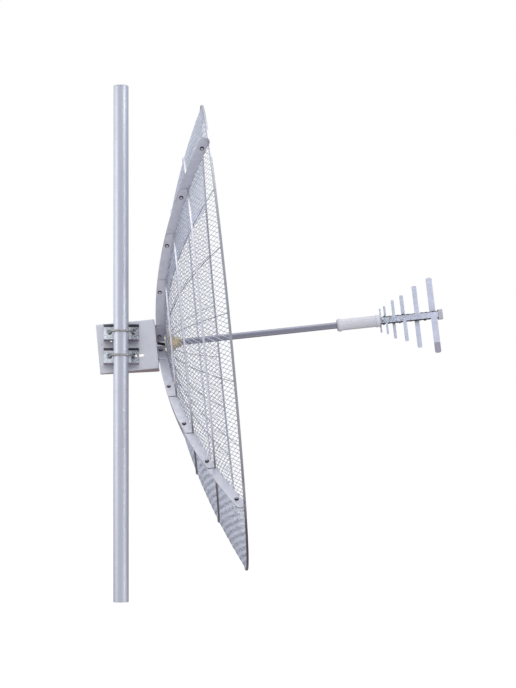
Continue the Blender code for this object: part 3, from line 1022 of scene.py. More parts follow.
def rounded(
    corners: Sequence[tuple[float, float, float]], steps: int = 5
) -> list[tuple[float, float]]:
    """Returns an outline whose corners are rounded.

    Args:
        corners: (first, second, radius) of each corner in order.
        steps: flats per rounded corner.

    Returns:
        The outline's points.
    """
    points = []
    for k, (first, second, radius) in enumerate(corners):
        middle = Vector((first, second))
        if radius <= 0:
            points.append((first, second))
            continue
        before = (Vector(corners[k - 1][:2]) - middle).normalized()
        after = (Vector(corners[(k + 1) % len(corners)][:2]) - middle).normalized()
        half = before.angle(after) / 2
        centre = middle + (before + after).normalized() * (radius / math.sin(half))
        start = middle + before * (radius / math.tan(half)) - centre
        end = middle + after * (radius / math.tan(half)) - centre
        for step in range(steps + 1):
            ray = start.lerp(end, step / steps).normalized() * radius
            points.append((centre.x + ray.x, centre.y + ray.y))
    return points


def rounded_box(
    low: tuple[float, float], high: tuple[float, float], radius: float, steps: int = 5
) -> Profile:
    """Returns the outline of a box with rounded corners.

    Args:
        low: its low corner.
        high: its high corner.
        radius: of its rounded corners.
        steps: flats per corner.

    Returns:
        The outline's points.
    """
    corners = (low, (high[0], low[1]), high, (low[0], high[1]))
    return rounded([(*corner, radius) for corner in corners], steps)


def slot_outline(centre: tuple[float, float], half_length: float, upright: bool) -> Profile:
    """Returns the outline of a slot for a rod, with round ends.

    Args:
        centre: its middle.
        half_length: half its length.
        upright: whether it stands or lies.

    Returns:
        The outline's points.
    """
    wide = SLOT_HALF_WIDTH
    along, across = (wide, half_length) if upright else (half_length, wide)
    corners = [(along, across), (-along, across), (-along, -across), (along, -across)]
    return rounded([(centre[0] + a, centre[1] + b, wide * 0.999) for a, b in corners])


def arc(
    centre: tuple[float, float], radius: float, start: float, end: float, steps: int = 6
) -> Profile:
    """Returns points of an arc.

    Args:
        centre: its middle.
        radius: its radius.
        start: its first angle in degrees.
        end: its last angle in degrees.
        steps: how many flats it has.

    Returns:
        The points in order.
    """
    points = []
    for k in range(steps + 1):
        angle = math.radians(start + (end - start) * k / steps)
        points.append((centre[0] + radius * math.cos(angle), centre[1] + radius * math.sin(angle)))
    return points


def add_piece(
    name: str, mesh: bpy.types.Mesh, finish: Finishes, replaced: Iterable[str] = ()
) -> bpy.types.Object:
    """Puts a finished mesh into the scene as a piece of the antenna.

    Args:
        name: the piece's name.
        mesh: its mesh, in the antenna's own frame.
        finish: its finish.
        replaced: CAD nodes that it stands for.

    Returns:
        The object.
    """
    thing = bpy.data.objects.new(name, mesh)
    bpy.context.scene.collection.objects.link(thing)
    mesh.materials.clear()
    mesh.materials.append(finish.value.material())
    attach(thing, "root")
    for node in replaced:
        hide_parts(node)
    LOG.info("piece %s has %d faces", name, len(mesh.polygons))
    return thing


@dataclass
class Mast:
    """The round tube and the lid in its top."""

    radius: float = MAST_RADIUS
    wall: float = 0.003
    length: float = 1.6377
    foot: float = 0.004
    lid: float = 0.0020
    lid_edge: float = 0.0012
    plug: float = 0.012
    lead: float = 0.002
    edge: float = 0.0006
    sides: int = 96
    upright: Matrix = field(default_factory=lambda: Matrix.Rotation(-math.pi / 2, 4, "Y"))

    def tube(self) -> None:
        """Builds the tube, whose cut ends are deburred and whose foot is closed."""
        bore = self.radius - self.wall
        profile = (
            (0.0, 0.0), (0.0, self.radius - self.edge), (self.edge, self.radius),
            (self.length - self.edge, self.radius), (self.length, self.radius - self.edge),
            (self.length, bore), (self.foot, bore), (self.foot, 0.0),
        )
        Shape().turned(profile, self.sides).piece(
            "mast_tube", self.upright, Finishes.MAST, replaced=["mast"]
        )

    def cap(self) -> None:
        """Builds the lid with its tapered plug and a rounded edge."""
        under, plug = self.length + GAP, self.radius - self.wall - GAP
        start, top = under - self.plug, under + self.lid
        middle = (top - self.lid_edge, self.radius - self.lid_edge)
        profile = [(start, 0.0), (start, plug - self.lead / 2), (start + self.lead, plug)]
        profile += [(under, plug), (under, self.radius)]
        profile += [*arc(middle, self.lid_edge, 90, 0, 4), (top, 0.0)]
        Shape().turned(profile, self.sides).piece(
            "mast_lid", self.upright, Finishes.PALE_PLASTIC, replaced=["mast_cap"]
        )

    def build(self) -> None:
        """Builds both."""
        self.tube()
        self.cap()


@dataclass
class Clamps:
    """The toothed saddles, and the U-bolts with their threads, washers and nuts."""

    seat: float = 0.0443
    tail: float = 0.062
    pitch: float = 0.00125
    thread_depth: float = 0.00038
    threaded: float = 0.030
    point: float = 0.0009
    washer: tuple[float, float] = (0.009, 0.0016)
    washer_edge: float = 0.0002
    nut: tuple[float, float] = (0.013, 0.0065)
    nut_turns: dict[str, float] = field(default_factory=lambda: {"back": 11.0, "front": 38.0})
    saddle_levels: dict[str, float] = field(
        default_factory=lambda: {"upper": 0.0280, "lower": -0.0475}
    )
    offset: float = 0.040
    half_width: float = 0.056
    tall: float = 0.050
    depth: float = 0.034
    sheet: float = 0.003
    bends: tuple[float, float] = (0.0012, 0.0042)
    cut: float = 0.0004
    slot: float = 0.010
    teeth: int = 5
    tooth: float = 0.0025

    def path(self, level: float) -> list[Vector]:
        """Lays out the middle line of a U-bolt, with close points along its threaded ends.

        Args:
            level: its height.

        Returns:
            The points in order.
        """
        centre = ROD_REACH - (MAST_RADIUS + GAP + ROD_RADIUS)
        steps = 24
        count = round(self.threaded / self.pitch * 4)
        leg = [self.tail - self.threaded * k / count for k in range(count + 1)]
        path = [Vector((-ROD_REACH, y, level)) for y in leg]
        for k in range(steps + 1):
            angle = math.pi * k / steps
            x, y = -ROD_REACH * math.cos(angle), centre - ROD_REACH * math.sin(angle)
            path.append(Vector((x, y, level)))
        return path + [Vector((ROD_REACH, y, level)) for y in reversed(leg)]

    def u_bolt(self, clamp: str) -> None:
        """Builds one U-bolt with cut threads at both ends.

        Args:
            clamp: which clamp, upper or lower.
        """
        path = self.path(LEVEL + CLAMP_LEVELS[clamp])
        total = sum((after - before).length for before, after in zip(path, path[1:]))

        def radius(along: float, angle: float) -> float:
            """Cuts a V thread into the rod near its ends.

            Args:
                along: the distance along the rod.
                angle: the angle round it.

            Returns:
                The rod's radius there.
            """
            end = min(along, total - along)
            if end > self.threaded:
                return ROD_RADIUS
            turn = (along / self.pitch + angle / (2 * math.pi)) % 1.0
            chamfer = max(0.0, self.point - end) * 0.7
            return ROD_RADIUS - self.thread_depth * abs(2 * turn - 1) - chamfer

        shape = Shape().tube(path, radius, 20)
        shape.piece(f"{clamp}_u_bolt_threaded", HERE, Finishes.RODS, 50, [f"{clamp}_u_bolt"])

    def notch(self, front: float, back: float) -> Profile:
        """Lays out the V that is cut into the flanges for the mast, with teeth along its sides.

        Args:
            front: where the flanges end, across the mast's axis.
            back: where the V ends.

        Returns:
            The outline, as (x, y) points.
        """
        beyond = 0.004
        reach = (MAST_RADIUS + GAP) * math.sqrt(2) - front
        notch = [(reach + beyond, front - beyond)]
        for k in range(2 * self.teeth):
            part = k / (2 * self.teeth)
            deep = self.tooth / math.sqrt(2) if k % 2 else 0.0
            notch.append((reach * (1 - part) + deep, front + reach * part + deep))
        return [*notch, (0.0, back), *((-x, y) for x, y in reversed(notch))]

    def saddle(self, clamp: str) -> None:
        """Builds one channel with its bent flanges, toothed jaws and slots.

        Args:
            clamp: which clamp, upper or lower.
        """
        back, sheet, cut = self.offset - GAP, self.sheet, self.cut
        front = back - self.depth
        middle = LEVEL + self.saddle_levels[clamp]
        low, high = middle - self.tall / 2, middle + self.tall / 2
        inner, outer = self.bends
        section = rounded([
            (back, low, outer), (front, low, cut), (front, low + sheet, cut),
            (back - sheet, low + sheet, inner), (back - sheet, high - sheet, inner),
            (front, high - sheet, cut), (front, high, cut), (back, high, outer),
        ])
        ends = (-self.half_width, self.half_width)
        channel = Shape().prism(section, ends, "yzx").mesh("channel")
        notch = self.notch(front, back - sheet - GAP)
        cutters = [Shape().prism(notch, (low - 0.01, high + 0.01), "xyz").mesh("notch")]
        for side in (-1, 1):
            centre = (side * (ROD_REACH + ROD_RADIUS), LEVEL + CLAMP_LEVELS[clamp])
            outline = slot_outline(centre, self.slot, False)
            cutters.append(Shape().prism(outline, (back - 0.02, back + 0.01), "xzy").mesh("slot"))
        finish = Finishes.UPPER_SADDLE if clamp == "upper" else Finishes.LOWER_SADDLE
        made = combined(channel, cutters, "DIFFERENCE")
        placed(f"{clamp}_toothed_saddle", made, HERE, finish, 30, [f"{clamp}_saddle"])

    def nuts(self, clamp: str) -> None:
        """Builds the two nuts and washers of one U-bolt.

        Args:
            clamp: which clamp, upper or lower.
        """
        level = LEVEL + CLAMP_LEVELS[clamp]
        washer, thick = self.washer
        across, tall = self.nut
        for side, x in (("back", -ROD_REACH), ("front", ROD_REACH)):
            place = Matrix.Translation((x, self.seat, level)) @ Matrix.Rotation(math.pi / 2, 4, "Z")
            place = place @ Matrix.Rotation(math.radians(self.nut_turns[side]), 4, "X")
            radii = (ROD_RADIUS + GAP / 2, washer)
            shape = Shape().washer(radii, (0.0, thick), self.washer_edge, 28, place)
            shape.hexagon(across, thick + 0.00005, thick + tall, place)
            name = f"{clamp}_{side}_nut"
            shape.piece(f"{name}_set", HERE, Finishes.ZINC, 25, [name])

    def build(self) -> None:
        """Builds and dresses the clamps."""
        for clamp in CLAMP_LEVELS:
            self.saddle(clamp)
            self.u_bolt(clamp)
            self.nuts(clamp)


@dataclass
class Bracket:
    """The folded bracket and the upright plate behind the petals, in the dish's frame."""

    plate: float = 0.004
    back: float = -0.2165
    front: float = -0.0340
    half_width: float = 0.065
    top: float = 0.0763
    bottom: float = -0.0830
    tail: float = 0.020
    tail_round: float = 0.012
    corner: float = 0.003
    bend: float = 0.0050
    inside: float = 0.0012
    edge: float = 0.0005
    beyond: float = 0.010
    side_of_mast: float = 0.105
    short: float = 0.009
    upright: float = 0.0198
    level: float = 0.0225

    def slots(self) -> list[bpy.types.Mesh]:
        """Makes cutters for the four slots that the U-bolts pass through.

        Returns:
            The cutters: one slot stands long above the mast's back, and one lies long in front.
        """
        cutters = []
        inverse = DISH_FRAME.inverted()
        ends = (-self.half_width - self.beyond, -self.half_width + self.beyond)
        for clamp, height in CLAMP_LEVELS.items():
            for side in (-1, 1):
                place = inverse @ Vector((side * ROD_REACH, self.side_of_mast, LEVEL + height))
                tall, wide = clamp == "upper" and side < 0, clamp == "lower" and side > 0
                half = self.upright if tall else self.level if wide else self.short
                shift = half - self.short
                centre = (place.x + (shift if wide else 0.0), place.z - (shift if tall else 0.0))
                outline = slot_outline(centre, half, tall)
                cutters.append(Shape().prism(outline, ends, "xzy").mesh("slot"))
        return cutters

    def face(self) -> Profile:
        """Returns the outline of the upright plates."""
        half = self.half_width
        return rounded_box((-half, self.bottom), (half, self.top), self.corner)

    def folded(self) -> None:
        """Builds the bracket: a channel that widens forward, with a plate across its front."""
        near, far, plate = -self.half_width, self.half_width, self.plate
        low, high, edge, beyond = self.bottom, self.top, self.edge, self.beyond
        section = rounded([
            (near, low, self.bend), (far, low, edge), (far, low + plate, edge),
            (near + plate, low + plate, self.inside), (near + plate, high - plate, self.inside),
            (far, high - plate, edge), (far, high, edge), (near, high, self.bend),
        ])
        channel = Shape().prism(section, (self.back, self.front), "yzx").mesh("channel")
        outline = rounded([
            (self.back, near - beyond, 0), (self.front + beyond, near - beyond, 0),
            (self.front + beyond, far + beyond, 0), (self.front - plate, far + beyond, 0),
            (self.front - plate, far, 0), (self.back, near + self.tail, self.tail_round),
        ])
        trim = Shape().prism(outline, (low - beyond, high + beyond), "xyz").mesh("trim")
        front = Shape().prism(self.face(), (self.front - plate, self.front), "yzx").mesh("front")
        body = combined(combined(channel, [trim], "INTERSECT"), [front], "UNION")
        body = combined(body, self.slots(), "DIFFERENCE")
        placed("folded_bracket", body, DISH_FRAME, Finishes.PAINT, 30, ["bracket"])

    def build(self) -> None:
        """Builds the bracket and the plate in front of it."""
        self.folded()
        start = self.front + GAP
        Shape().prism(self.face(), (start, start + self.plate), "yzx").piece(
            "rounded_hub_plate", DISH_FRAME, Finishes.PAINT, 30, ["hub_plate"]
        )


@dataclass
class Hub:
    """The spigot with its lugs, and the black liner in its bore."""

    bore: float = 0.0087
    wall: float = 0.0016
    back: float = -0.0290
    front: float = 0.0020

    def build(self) -> None:
        """Builds the liner and dresses the spigot."""
        finish_node("hub_spider", Finishes.LUGS)
        inner = self.bore - self.wall
        profile = (
            (self.back, inner), (self.back, self.bore),
            (self.front, self.bore), (self.front, inner),
        )
        Shape().turned(profile, 32).piece("spigot_liner", DISH_FRAME, Finishes.BLACK_PLASTIC)


@dataclass
class Bowl:
    """The surface of the dish, and the way from flat sheet metal to that surface."""

    focal_length: float = 0.7456
    radius: float = 0.750

    def height(self, radius: "float | np.ndarray") -> "float | np.ndarray":
        """Returns how far the bowl has come forward at a radius."""
        return radius ** 2 / (4 * self.focal_length)

    def shaped(self, flat: np.ndarray, offset: np.ndarray) -> np.ndarray:
        """Forms points of a flat sheet onto the bowl, keeping their distance from the middle.

        Args:
            flat: (points, 2) distances along -Y and along +Z from the middle.
            offset: how far each point stands off the surface towards the focus.

        Returns:
            (points, 3) places in the dish's frame.
        """
        radii = np.linspace(0.0, 1.05 * self.radius, 400)
        slope = radii / (2 * self.focal_length)
        lengths = radii / 2 * np.hypot(1, slope) + self.focal_length * np.arcsinh(slope)
        reach = np.hypot(flat[:, 0], flat[:, 1])
        radius = np.interp(reach, lengths, radii)
        way = flat / np.maximum(reach, 1e-9)[:, None]
        slope = radius / (2 * self.focal_length)
        steep = np.hypot(1, slope)
        distance = self.height(radius) + offset / steep
        radius = radius - offset * slope / steep
        return np.stack([distance, -radius * way[:, 0], radius * way[:, 1]], axis=1)


@dataclass
class ExpandedSheet:
    """One petal's sheet of expanded metal, long way along the petal's middle line.

    strand is half the width of a strand across the short way, and bond half that of a bond along
    the long way. tilt is how far the strands stand off the sheet's middle at the openings.
    """

    bowl: Bowl
    long_way: float = 0.041
    short_way: float = 0.0143
    strand: float = 0.0015
    bond: float = 0.0026
    thickness: float = 0.0009
    tilt: float = 0.0007
    inner: float = 0.046
    outer: float = 0.7476
    seam_gap: float = 0.0019
    wire: float = 0.0011
    wire_angles: tuple[float, ...] = (-30.0, -15.0, 0.0, 15.0, 30.0)
    wire_ends: tuple[float, float] = (0.012, 0.004)

    def cell(self) -> list[tuple[float, float]]:
        """Lays out a cell, whose outline runs down the middle of the strands.

        Returns:
            Its eight corners.
        """
        half_long, half_short = self.long_way / 2, self.short_way / 2
        quarter = [(half_long, 0.0), (half_long / 2, half_short / 2)]
        across = [(0.0, half_short), (-half_long / 2, half_short / 2)]
        return [*quarter, *across, *((-s, -t) for s, t in quarter + across)]

    def opening(self) -> list[tuple[float, float]]:
        """Lays out the opening in a cell.

        Returns:
            Its ten corners.
        """
        end, top = self.long_way / 2 - self.bond, self.short_way / 2 - self.strand
        side, crown = (self.bond + 0.0015, top * 0.90), (self.bond * 0.5, top)
        half = [(end, 0.0), side, crown, (-crown[0], top), (-side[0], side[1])]
        return [*half, *((-s, -t) for s, t in half)]

    def grid(self) -> np.ndarray:
        """Lays out the cells that touch the petal.

        Returns:
            (cells, 2) their middles.
        """
        reach = self.outer * 1.06
        places = []
        for i in range(1, int(2 * reach / self.long_way) + 2):
            s = i * self.long_way / 2
            rows = int(s / self.short_way) + 3
            for j in range(-rows, rows + 1):
                t = (j + (i % 2) / 2) * self.short_way
                if abs(t) < s + self.short_way and math.hypot(s, t) < reach:
                    places.append((s, t))
        return np.array(places)

    def flat_sheet(self) -> tuple[np.ndarray, np.ndarray, list[tuple[int, ...]]]:
        """Lays out the sheet before it is formed.

        Returns:
            The flat points, how far each stands off the sheet's middle, and the faces.
        """
        cell, opening = np.array(self.cell()), np.array(self.opening())
        partners = (0, 1, 2, 2, 3, 4, 5, 6, 6, 7)
        ring = [(k, (k + 1) % len(partners)) for k in range(len(partners))]
        count = len(cell) + len(opening)
        middles = self.grid()
        flat = (middles[:, None, :] + np.concatenate([cell, opening])[None]).reshape(-1, 2)
        sides = np.sign(np.round(opening[:, 1], 7))
        lean = np.tile(np.concatenate([np.zeros(len(cell)), -self.tilt * sides]), len(middles))
        together = 0.00005
        keys = np.round(flat / together).astype(np.int64)
        keys[:, 0] *= 1_000_000
        _, first, merged = np.unique(keys.sum(axis=1), return_index=True, return_inverse=True)
        flat, lean = flat[first], lean[first]
        front = []
        for start in range(0, len(middles) * count, count):
            for k, after in ring:
                corners = (
                    start + partners[k], start + partners[after],
                    start + len(cell) + after, start + len(cell) + k,
                )
                front.append(tuple(dict.fromkeys(int(merged[corner]) for corner in corners)))
        size = len(flat)
        back = [tuple(index + size for index in reversed(face)) for face in front]
        edges = {(face[k - 1], face[k]) for face in front for k in range(len(face))}
        walls = [(b, a, a + size, b + size) for a, b in edges if (b, a) not in edges]
        offset = np.concatenate([lean + self.thickness / 2, lean - self.thickness / 2])
        return np.concatenate([flat, flat]), offset, front + back + sorted(walls)

    def mesh(self) -> bpy.types.Mesh:
        """Forms the sheet onto the bowl and trims it to the petal.

        Returns:
            The near petal's sheet, in the dish's frame.
        """
        flat, offset, faces = self.flat_sheet()
        raw = bpy.data.meshes.new("sheet_raw")
        raw.from_pydata(self.bowl.shaped(flat, offset).tolist(), [], faces)
        outline = []
        steps = 36
        for radius, way in ((self.inner, 1), (self.outer, -1)):
            last = math.pi / 4 - math.asin(self.seam_gap / radius)
            for k in range(steps + 1):
                angle = way * last * (2 * k / steps - 1)
                outline.append((-radius * math.cos(angle), radius * math.sin(angle)))
        cutter = Shape().prism(outline, (-0.02, 0.22), "yzx").mesh("petal_cutter")
        return combined(raw, [cutter], "INTERSECT")

    def wires(self) -> Shape:
        """Lays the stiffening wires up the front of the sheet.

        Returns:
            The near petal's wires, in the dish's frame.
        """
        shape = Shape()
        steps = 26
        lift = self.tilt + self.thickness / 2 + self.wire
        for degrees in self.wire_angles:
            angle = math.radians(degrees)
            start, end = self.inner + self.wire_ends[0], self.outer - self.wire_ends[1]
            radii = np.linspace(start, end, steps + 1)
            slope = radii / (2 * self.bowl.focal_length)
            path = [
                Vector((self.bowl.height(r) + lift, -r * math.cos(angle), r * math.sin(angle)))
                for r in radii - lift * slope
            ]
            shape.tube(path, lambda along, turn: self.wire, 8)
        return shape


@dataclass
class SheetMetal:
    """The cut and bent strips of a petal, built for the near one."""

    bowl: Bowl
    sheet: float = 0.0015
    edge: float = 0.0003
    half_mesh: float = 0.0010
    strip_depth: float = 0.0285
    strip_start: float = 0.030
    strip_end: float = 0.758
    rim_front: float = 0.001
    rim_back: float = 0.006
    rim_lip: float = 0.006
    rings: tuple[float, ...] = (0.255, 0.428, 0.588)
    ring_bolts: tuple[float, ...] = (0.2117, 0.3884, 0.5599)
    leg_flat: float = 0.0036
    leg_standing: float = 0.0044
    tab_flat: float = 0.006
    tab_reach: float = 0.014
    tab_depth: float = 0.027
    tab_corner: float = 0.005
    step: float = math.radians(2.5)

    def section(self, radius: float, offset: float) -> tuple[float, float]:
        """Finds a point of the bowl's section, moved off the surface.

        Args:
            radius: where the point is on the surface.
            offset: how far it moves towards the focus.

        Returns:
            Its distance along the line of sight and its radius.
        """
        slope = radius / (2 * self.bowl.focal_length)
        reach = math.hypot(1.0, slope)
        return self.bowl.height(radius) + offset / reach, radius - offset * slope / reach

    def behind(self, radius: float, depth: float) -> float:
        """Returns where a surface behind the bowl by a depth meets a radius."""
        slope = radius / (2 * self.bowl.focal_length)
        return self.bowl.height(radius) - depth * math.hypot(1.0, slope)

    def around(self, distance: float, radius: float, angle: float) -> Vector:
        """Returns a point at an angle round the line of sight."""
        return Vector((distance, -radius * math.cos(angle), radius * math.sin(angle)))

    def beside(self, distance: float, radius: float, seam: int, into: float) -> Vector:
        """Finds a point beside a seam.

        Args:
            distance: its distance along the line of sight.
            radius: its radius.
            seam: the petal's upper (1) or lower (-1) seam.
            into: how far the point lies into the petal.

        Returns:
            The point.
        """
        angle = seam * math.pi / 4
        tangent = Vector((0.0, math.sin(angle), math.cos(angle)))
        return self.around(distance, radius, angle) - tangent * seam * into

    def angles(self, radius: float, clear: float) -> list[float]:
        """Divides the petal's arc at a radius.

        Args:
            radius: the radius.
            clear: how far from its seams the arc ends.

        Returns:
            The angles from one seam to the other.
        """
        last = math.pi / 4 - math.asin(clear / radius)
        count = round(2 * last / self.step)
        return [last * (2 * k / count - 1) for k in range(count + 1)]

    def strip(self, seam: int) -> bpy.types.Mesh:
        """Builds the strip that stands behind the bowl along a seam, with round ends.

        Args:
            seam: the petal's upper (1) or lower (-1) seam.

        Returns:
            Its mesh.
        """
        half = (self.strip_depth + self.half_mesh) / 2
        middle = (self.half_mesh - self.strip_depth) / 2
        round_end = self.strip_depth / 2
        turns = [math.pi / 2 * k / 10 for k in range(11)]
        start, end = self.strip_start + half, self.strip_end - round_end
        stations = [(start - half * math.cos(turn), half * math.sin(turn)) for turn in turns[1:]]
        stations += [(float(radius), half) for radius in np.linspace(start, end, 42)[1:-1]]
        stations += [
            (end + round_end * math.sin(turn), half - round_end * (1 - math.cos(turn)))
            for turn in turns[:-1]
        ]
        rings = []
        for radius, reach in stations:
            low, high, cut = middle - reach, middle + reach, min(self.edge, reach * 0.4)
            near, far = GAP / 2, GAP / 2 + self.sheet
            ring = []
            for offset, into in (
                (high, near + cut), (high, far - cut), (high - cut, far), (low + cut, far),
                (low, far - cut), (low, near + cut), (low + cut, near), (high - cut, near),
            ):
                distance, out = self.section(radius, offset)
                ring.append(self.beside(distance, out, seam, into))
            rings.append(ring)
        return Shape().sweep(rings).mesh("strip")

    def rim(self) -> bpy.types.Mesh:
        """Builds the bent angle round the petal's outer edge.

        Returns:
            Its mesh.
        """
        outer = self.bowl.radius
        inside = outer - self.sheet
        top = self.bowl.height(outer)
        clear = self.half_mesh + GAP
        lip = outer - self.rim_lip
        section = rounded([
            (top + self.rim_front, inside, self.edge), (top + self.rim_front, outer, self.edge),
            (top - self.rim_back, outer, self.sheet),
            (self.behind(lip, clear + self.sheet), lip, self.edge),
            (self.behind(lip, clear), lip, self.edge),
            (self.behind(inside, clear), inside, self.edge),
        ], 3)
        rings = [
            [self.around(distance, radius, angle) for distance, radius in section]
            for angle in self.angles(outer, (GAP + self.sheet) / 2)
        ]
        return Shape().sweep(rings).mesh("rim")

    def frame(self) -> bpy.types.Mesh:
        """Returns the two strips and the rim in one."""
        return combined(self.rim(), [self.strip(1), self.strip(-1)], "UNION")

    def rib(self, number: int) -> bpy.types.Mesh:
        """Builds one ring rib: a bent angle with flat tabs at its ends.

        Args:
            number: which ring, from the middle.

        Returns:
            Its mesh.
        """
        radius, bolt = self.rings[number], self.ring_bolts[number]
        clear = self.half_mesh + GAP
        flat = radius + self.leg_flat
        back = self.behind(radius, clear) - self.leg_standing
        section = rounded([
            (self.behind(radius, clear), radius, self.sheet),
            (self.behind(flat, clear), flat, self.edge),
            (self.behind(flat, clear + self.sheet), flat, self.edge),
            (self.behind(radius + self.sheet, clear + self.sheet), radius + self.sheet, self.edge),
            (back, radius + self.sheet, self.edge), (back, radius, self.edge),
        ], 3)
        face = GAP / 2 + self.sheet + GAP
        rings = [
            [self.around(distance, reach, angle) for distance, reach in section]
            for angle in self.angles(radius, face + self.sheet / 2)
        ]
        start, outer = bolt - self.tab_reach, radius + self.tab_flat
        corners = (
            (start, clear, 0.003), (radius, clear, 0.0), (outer, clear, 0.001),
            (outer, self.tab_depth, self.tab_corner), (start, self.tab_depth, self.tab_corner),
        )
        outline = rounded([(self.behind(out, depth), out, turn) for out, depth, turn in corners])
        tabs = []
        for seam in (1, -1):
            faces = [
                [self.beside(distance, reach, seam, into) for distance, reach in outline]
                for into in (face, face + self.sheet)
            ]
            tabs.append(Shape().sweep(faces).mesh("tab"))
        return combined(Shape().sweep(rings).mesh("angle"), tabs, "UNION")


@dataclass
class Petals:
    """The four petals: sheets of mesh, frames and ring ribs, bolted along their seams.

    bolts holds the distance along the line of sight, the radius and the seat of each seam bolt.
    """

    sheet: ExpandedSheet
    metal: SheetMetal
    names: tuple[str, ...] = ("near", "top", "far", "bottom")
    bolts: tuple[tuple[float, float, float], ...] = (
        (-0.0181, 0.0347, 0.0046),
        (-0.0029, 0.2135, 0.0036),
        (0.0341, 0.3916, 0.0036),
        (0.0908, 0.5644, 0.0036),
        (0.1641, 0.7294, 0.0018),
    )
    head: tuple[float, float] = (0.0076, 0.0022)
    washer: tuple[float, float] = (0.0066, 0.0011)
    washer_edge: float = 0.00015
    nut_depth: float = 0.0045
    shank: float = 0.0025
    tail: tuple[float, float] = (0.0024, 0.0030)
    seat_gap: float = 0.00005

    def seam_place(self, distance: float, radius: float, seam: int) -> Matrix:
        """Finds the frame of a bolt, whose X axis is square to the seam.

        Args:
            distance: the bolt's distance along the line of sight.
            radius: its distance from the line of sight.
            seam: which of the four seams, counted from the near petal's upper one.

        Returns:
            The bolt's place in the dish's frame.
        """
        turn = Matrix.Rotation(-(seam + 0.5) * math.pi / 2, 4, "X")
        place = turn @ Matrix.Translation((distance, -radius, 0.0))
        return place @ Matrix.Rotation(math.pi / 2, 4, "Y")

    def bolt_tail(self, end: float, side: Matrix, shape: Shape) -> None:
        """Adds the end of a bolt that stands out of its nut.

        Args:
            end: where the nut ends.
            side: the bolt's frame on the nut's side.
            shape: what it is added to.
        """
        low, (shoulder, tip) = end + self.seat_gap, self.tail
        profile = (
            (low, 0.0), (low, self.shank), (end + shoulder, self.shank),
            (end + tip, self.shank * 0.8), (end + tip, 0.0),
        )
        shape.turned(profile, 16, side)

    def seam_bolts(self, seam: int) -> None:
        """Builds the bolts of one seam, each with its washers and nut.

        Args:
            seam: which of the four seams, counted from the near petal's upper one.
        """
        shape, washers = Shape(), Shape()
        (washer, thick), (across, tall) = self.washer, self.head
        for number, (distance, radius, seat) in enumerate(self.bolts):
            place = self.seam_place(distance, radius, seam)
            for way, turn, depth in ((1, 0.0, tall), (-1, math.pi, self.nut_depth)):
                side = place @ Matrix.Rotation(turn, 4, "Y")
                side = side @ Matrix.Rotation(0.4 * number + 0.7 * seam + way, 4, "X")
                ends = (seat, seat + thick)
                washers.washer((self.shank, washer), ends, self.washer_edge, 24, side)
                start = seat + thick + self.seat_gap
                shape.hexagon(across, start, start + depth, side)
                if way < 0:
                    self.bolt_tail(start + depth, side, shape)
        name = f"{self.names[seam]}_{self.names[(seam + 1) % 4]}_seam"
        shape.piece(f"{name}_bolts", DISH_FRAME, Finishes.BOLTS, 25)
        washers.piece(f"{name}_washers", DISH_FRAME, Finishes.WASHERS, 25)

    def build(self) -> None:
        """Builds and dresses the petals, each a turned copy of the near one."""
        sheet, wires, edges = self.sheet.mesh(), self.sheet.wires(), self.metal.frame()
        ribs = [self.metal.rib(number) for number in range(len(self.metal.rings))]
        for number, petal in enumerate(self.names):
            turn = DISH_FRAME @ Matrix.Rotation(-number * math.pi / 2, 4, "X")
            name = f"{petal}_petal"
            mesh = sheet.copy()
            mesh.transform(turn)
            add_piece(f"{name}_expanded_sheet", mesh, Finishes.MESH, [f"{name}_mesh"])
            wires.piece(f"{name}_wires", turn, Finishes.WIRE, 60)
            placed(
                f"{name}_strips_and_rim", edges.copy(), turn, Finishes.EDGES, 30, [f"{name}_frame"]
            )
            for rib, mesh in enumerate(ribs, 1):
                placed(
                    f"{name}_ring_angle_{rib}", mesh.copy(), turn, Finishes.RIBS, 30,
                    [f"{name}_rib_{rib}"],
                )
        for seam in range(len(self.names)):
            self.seam_bolts(seam)


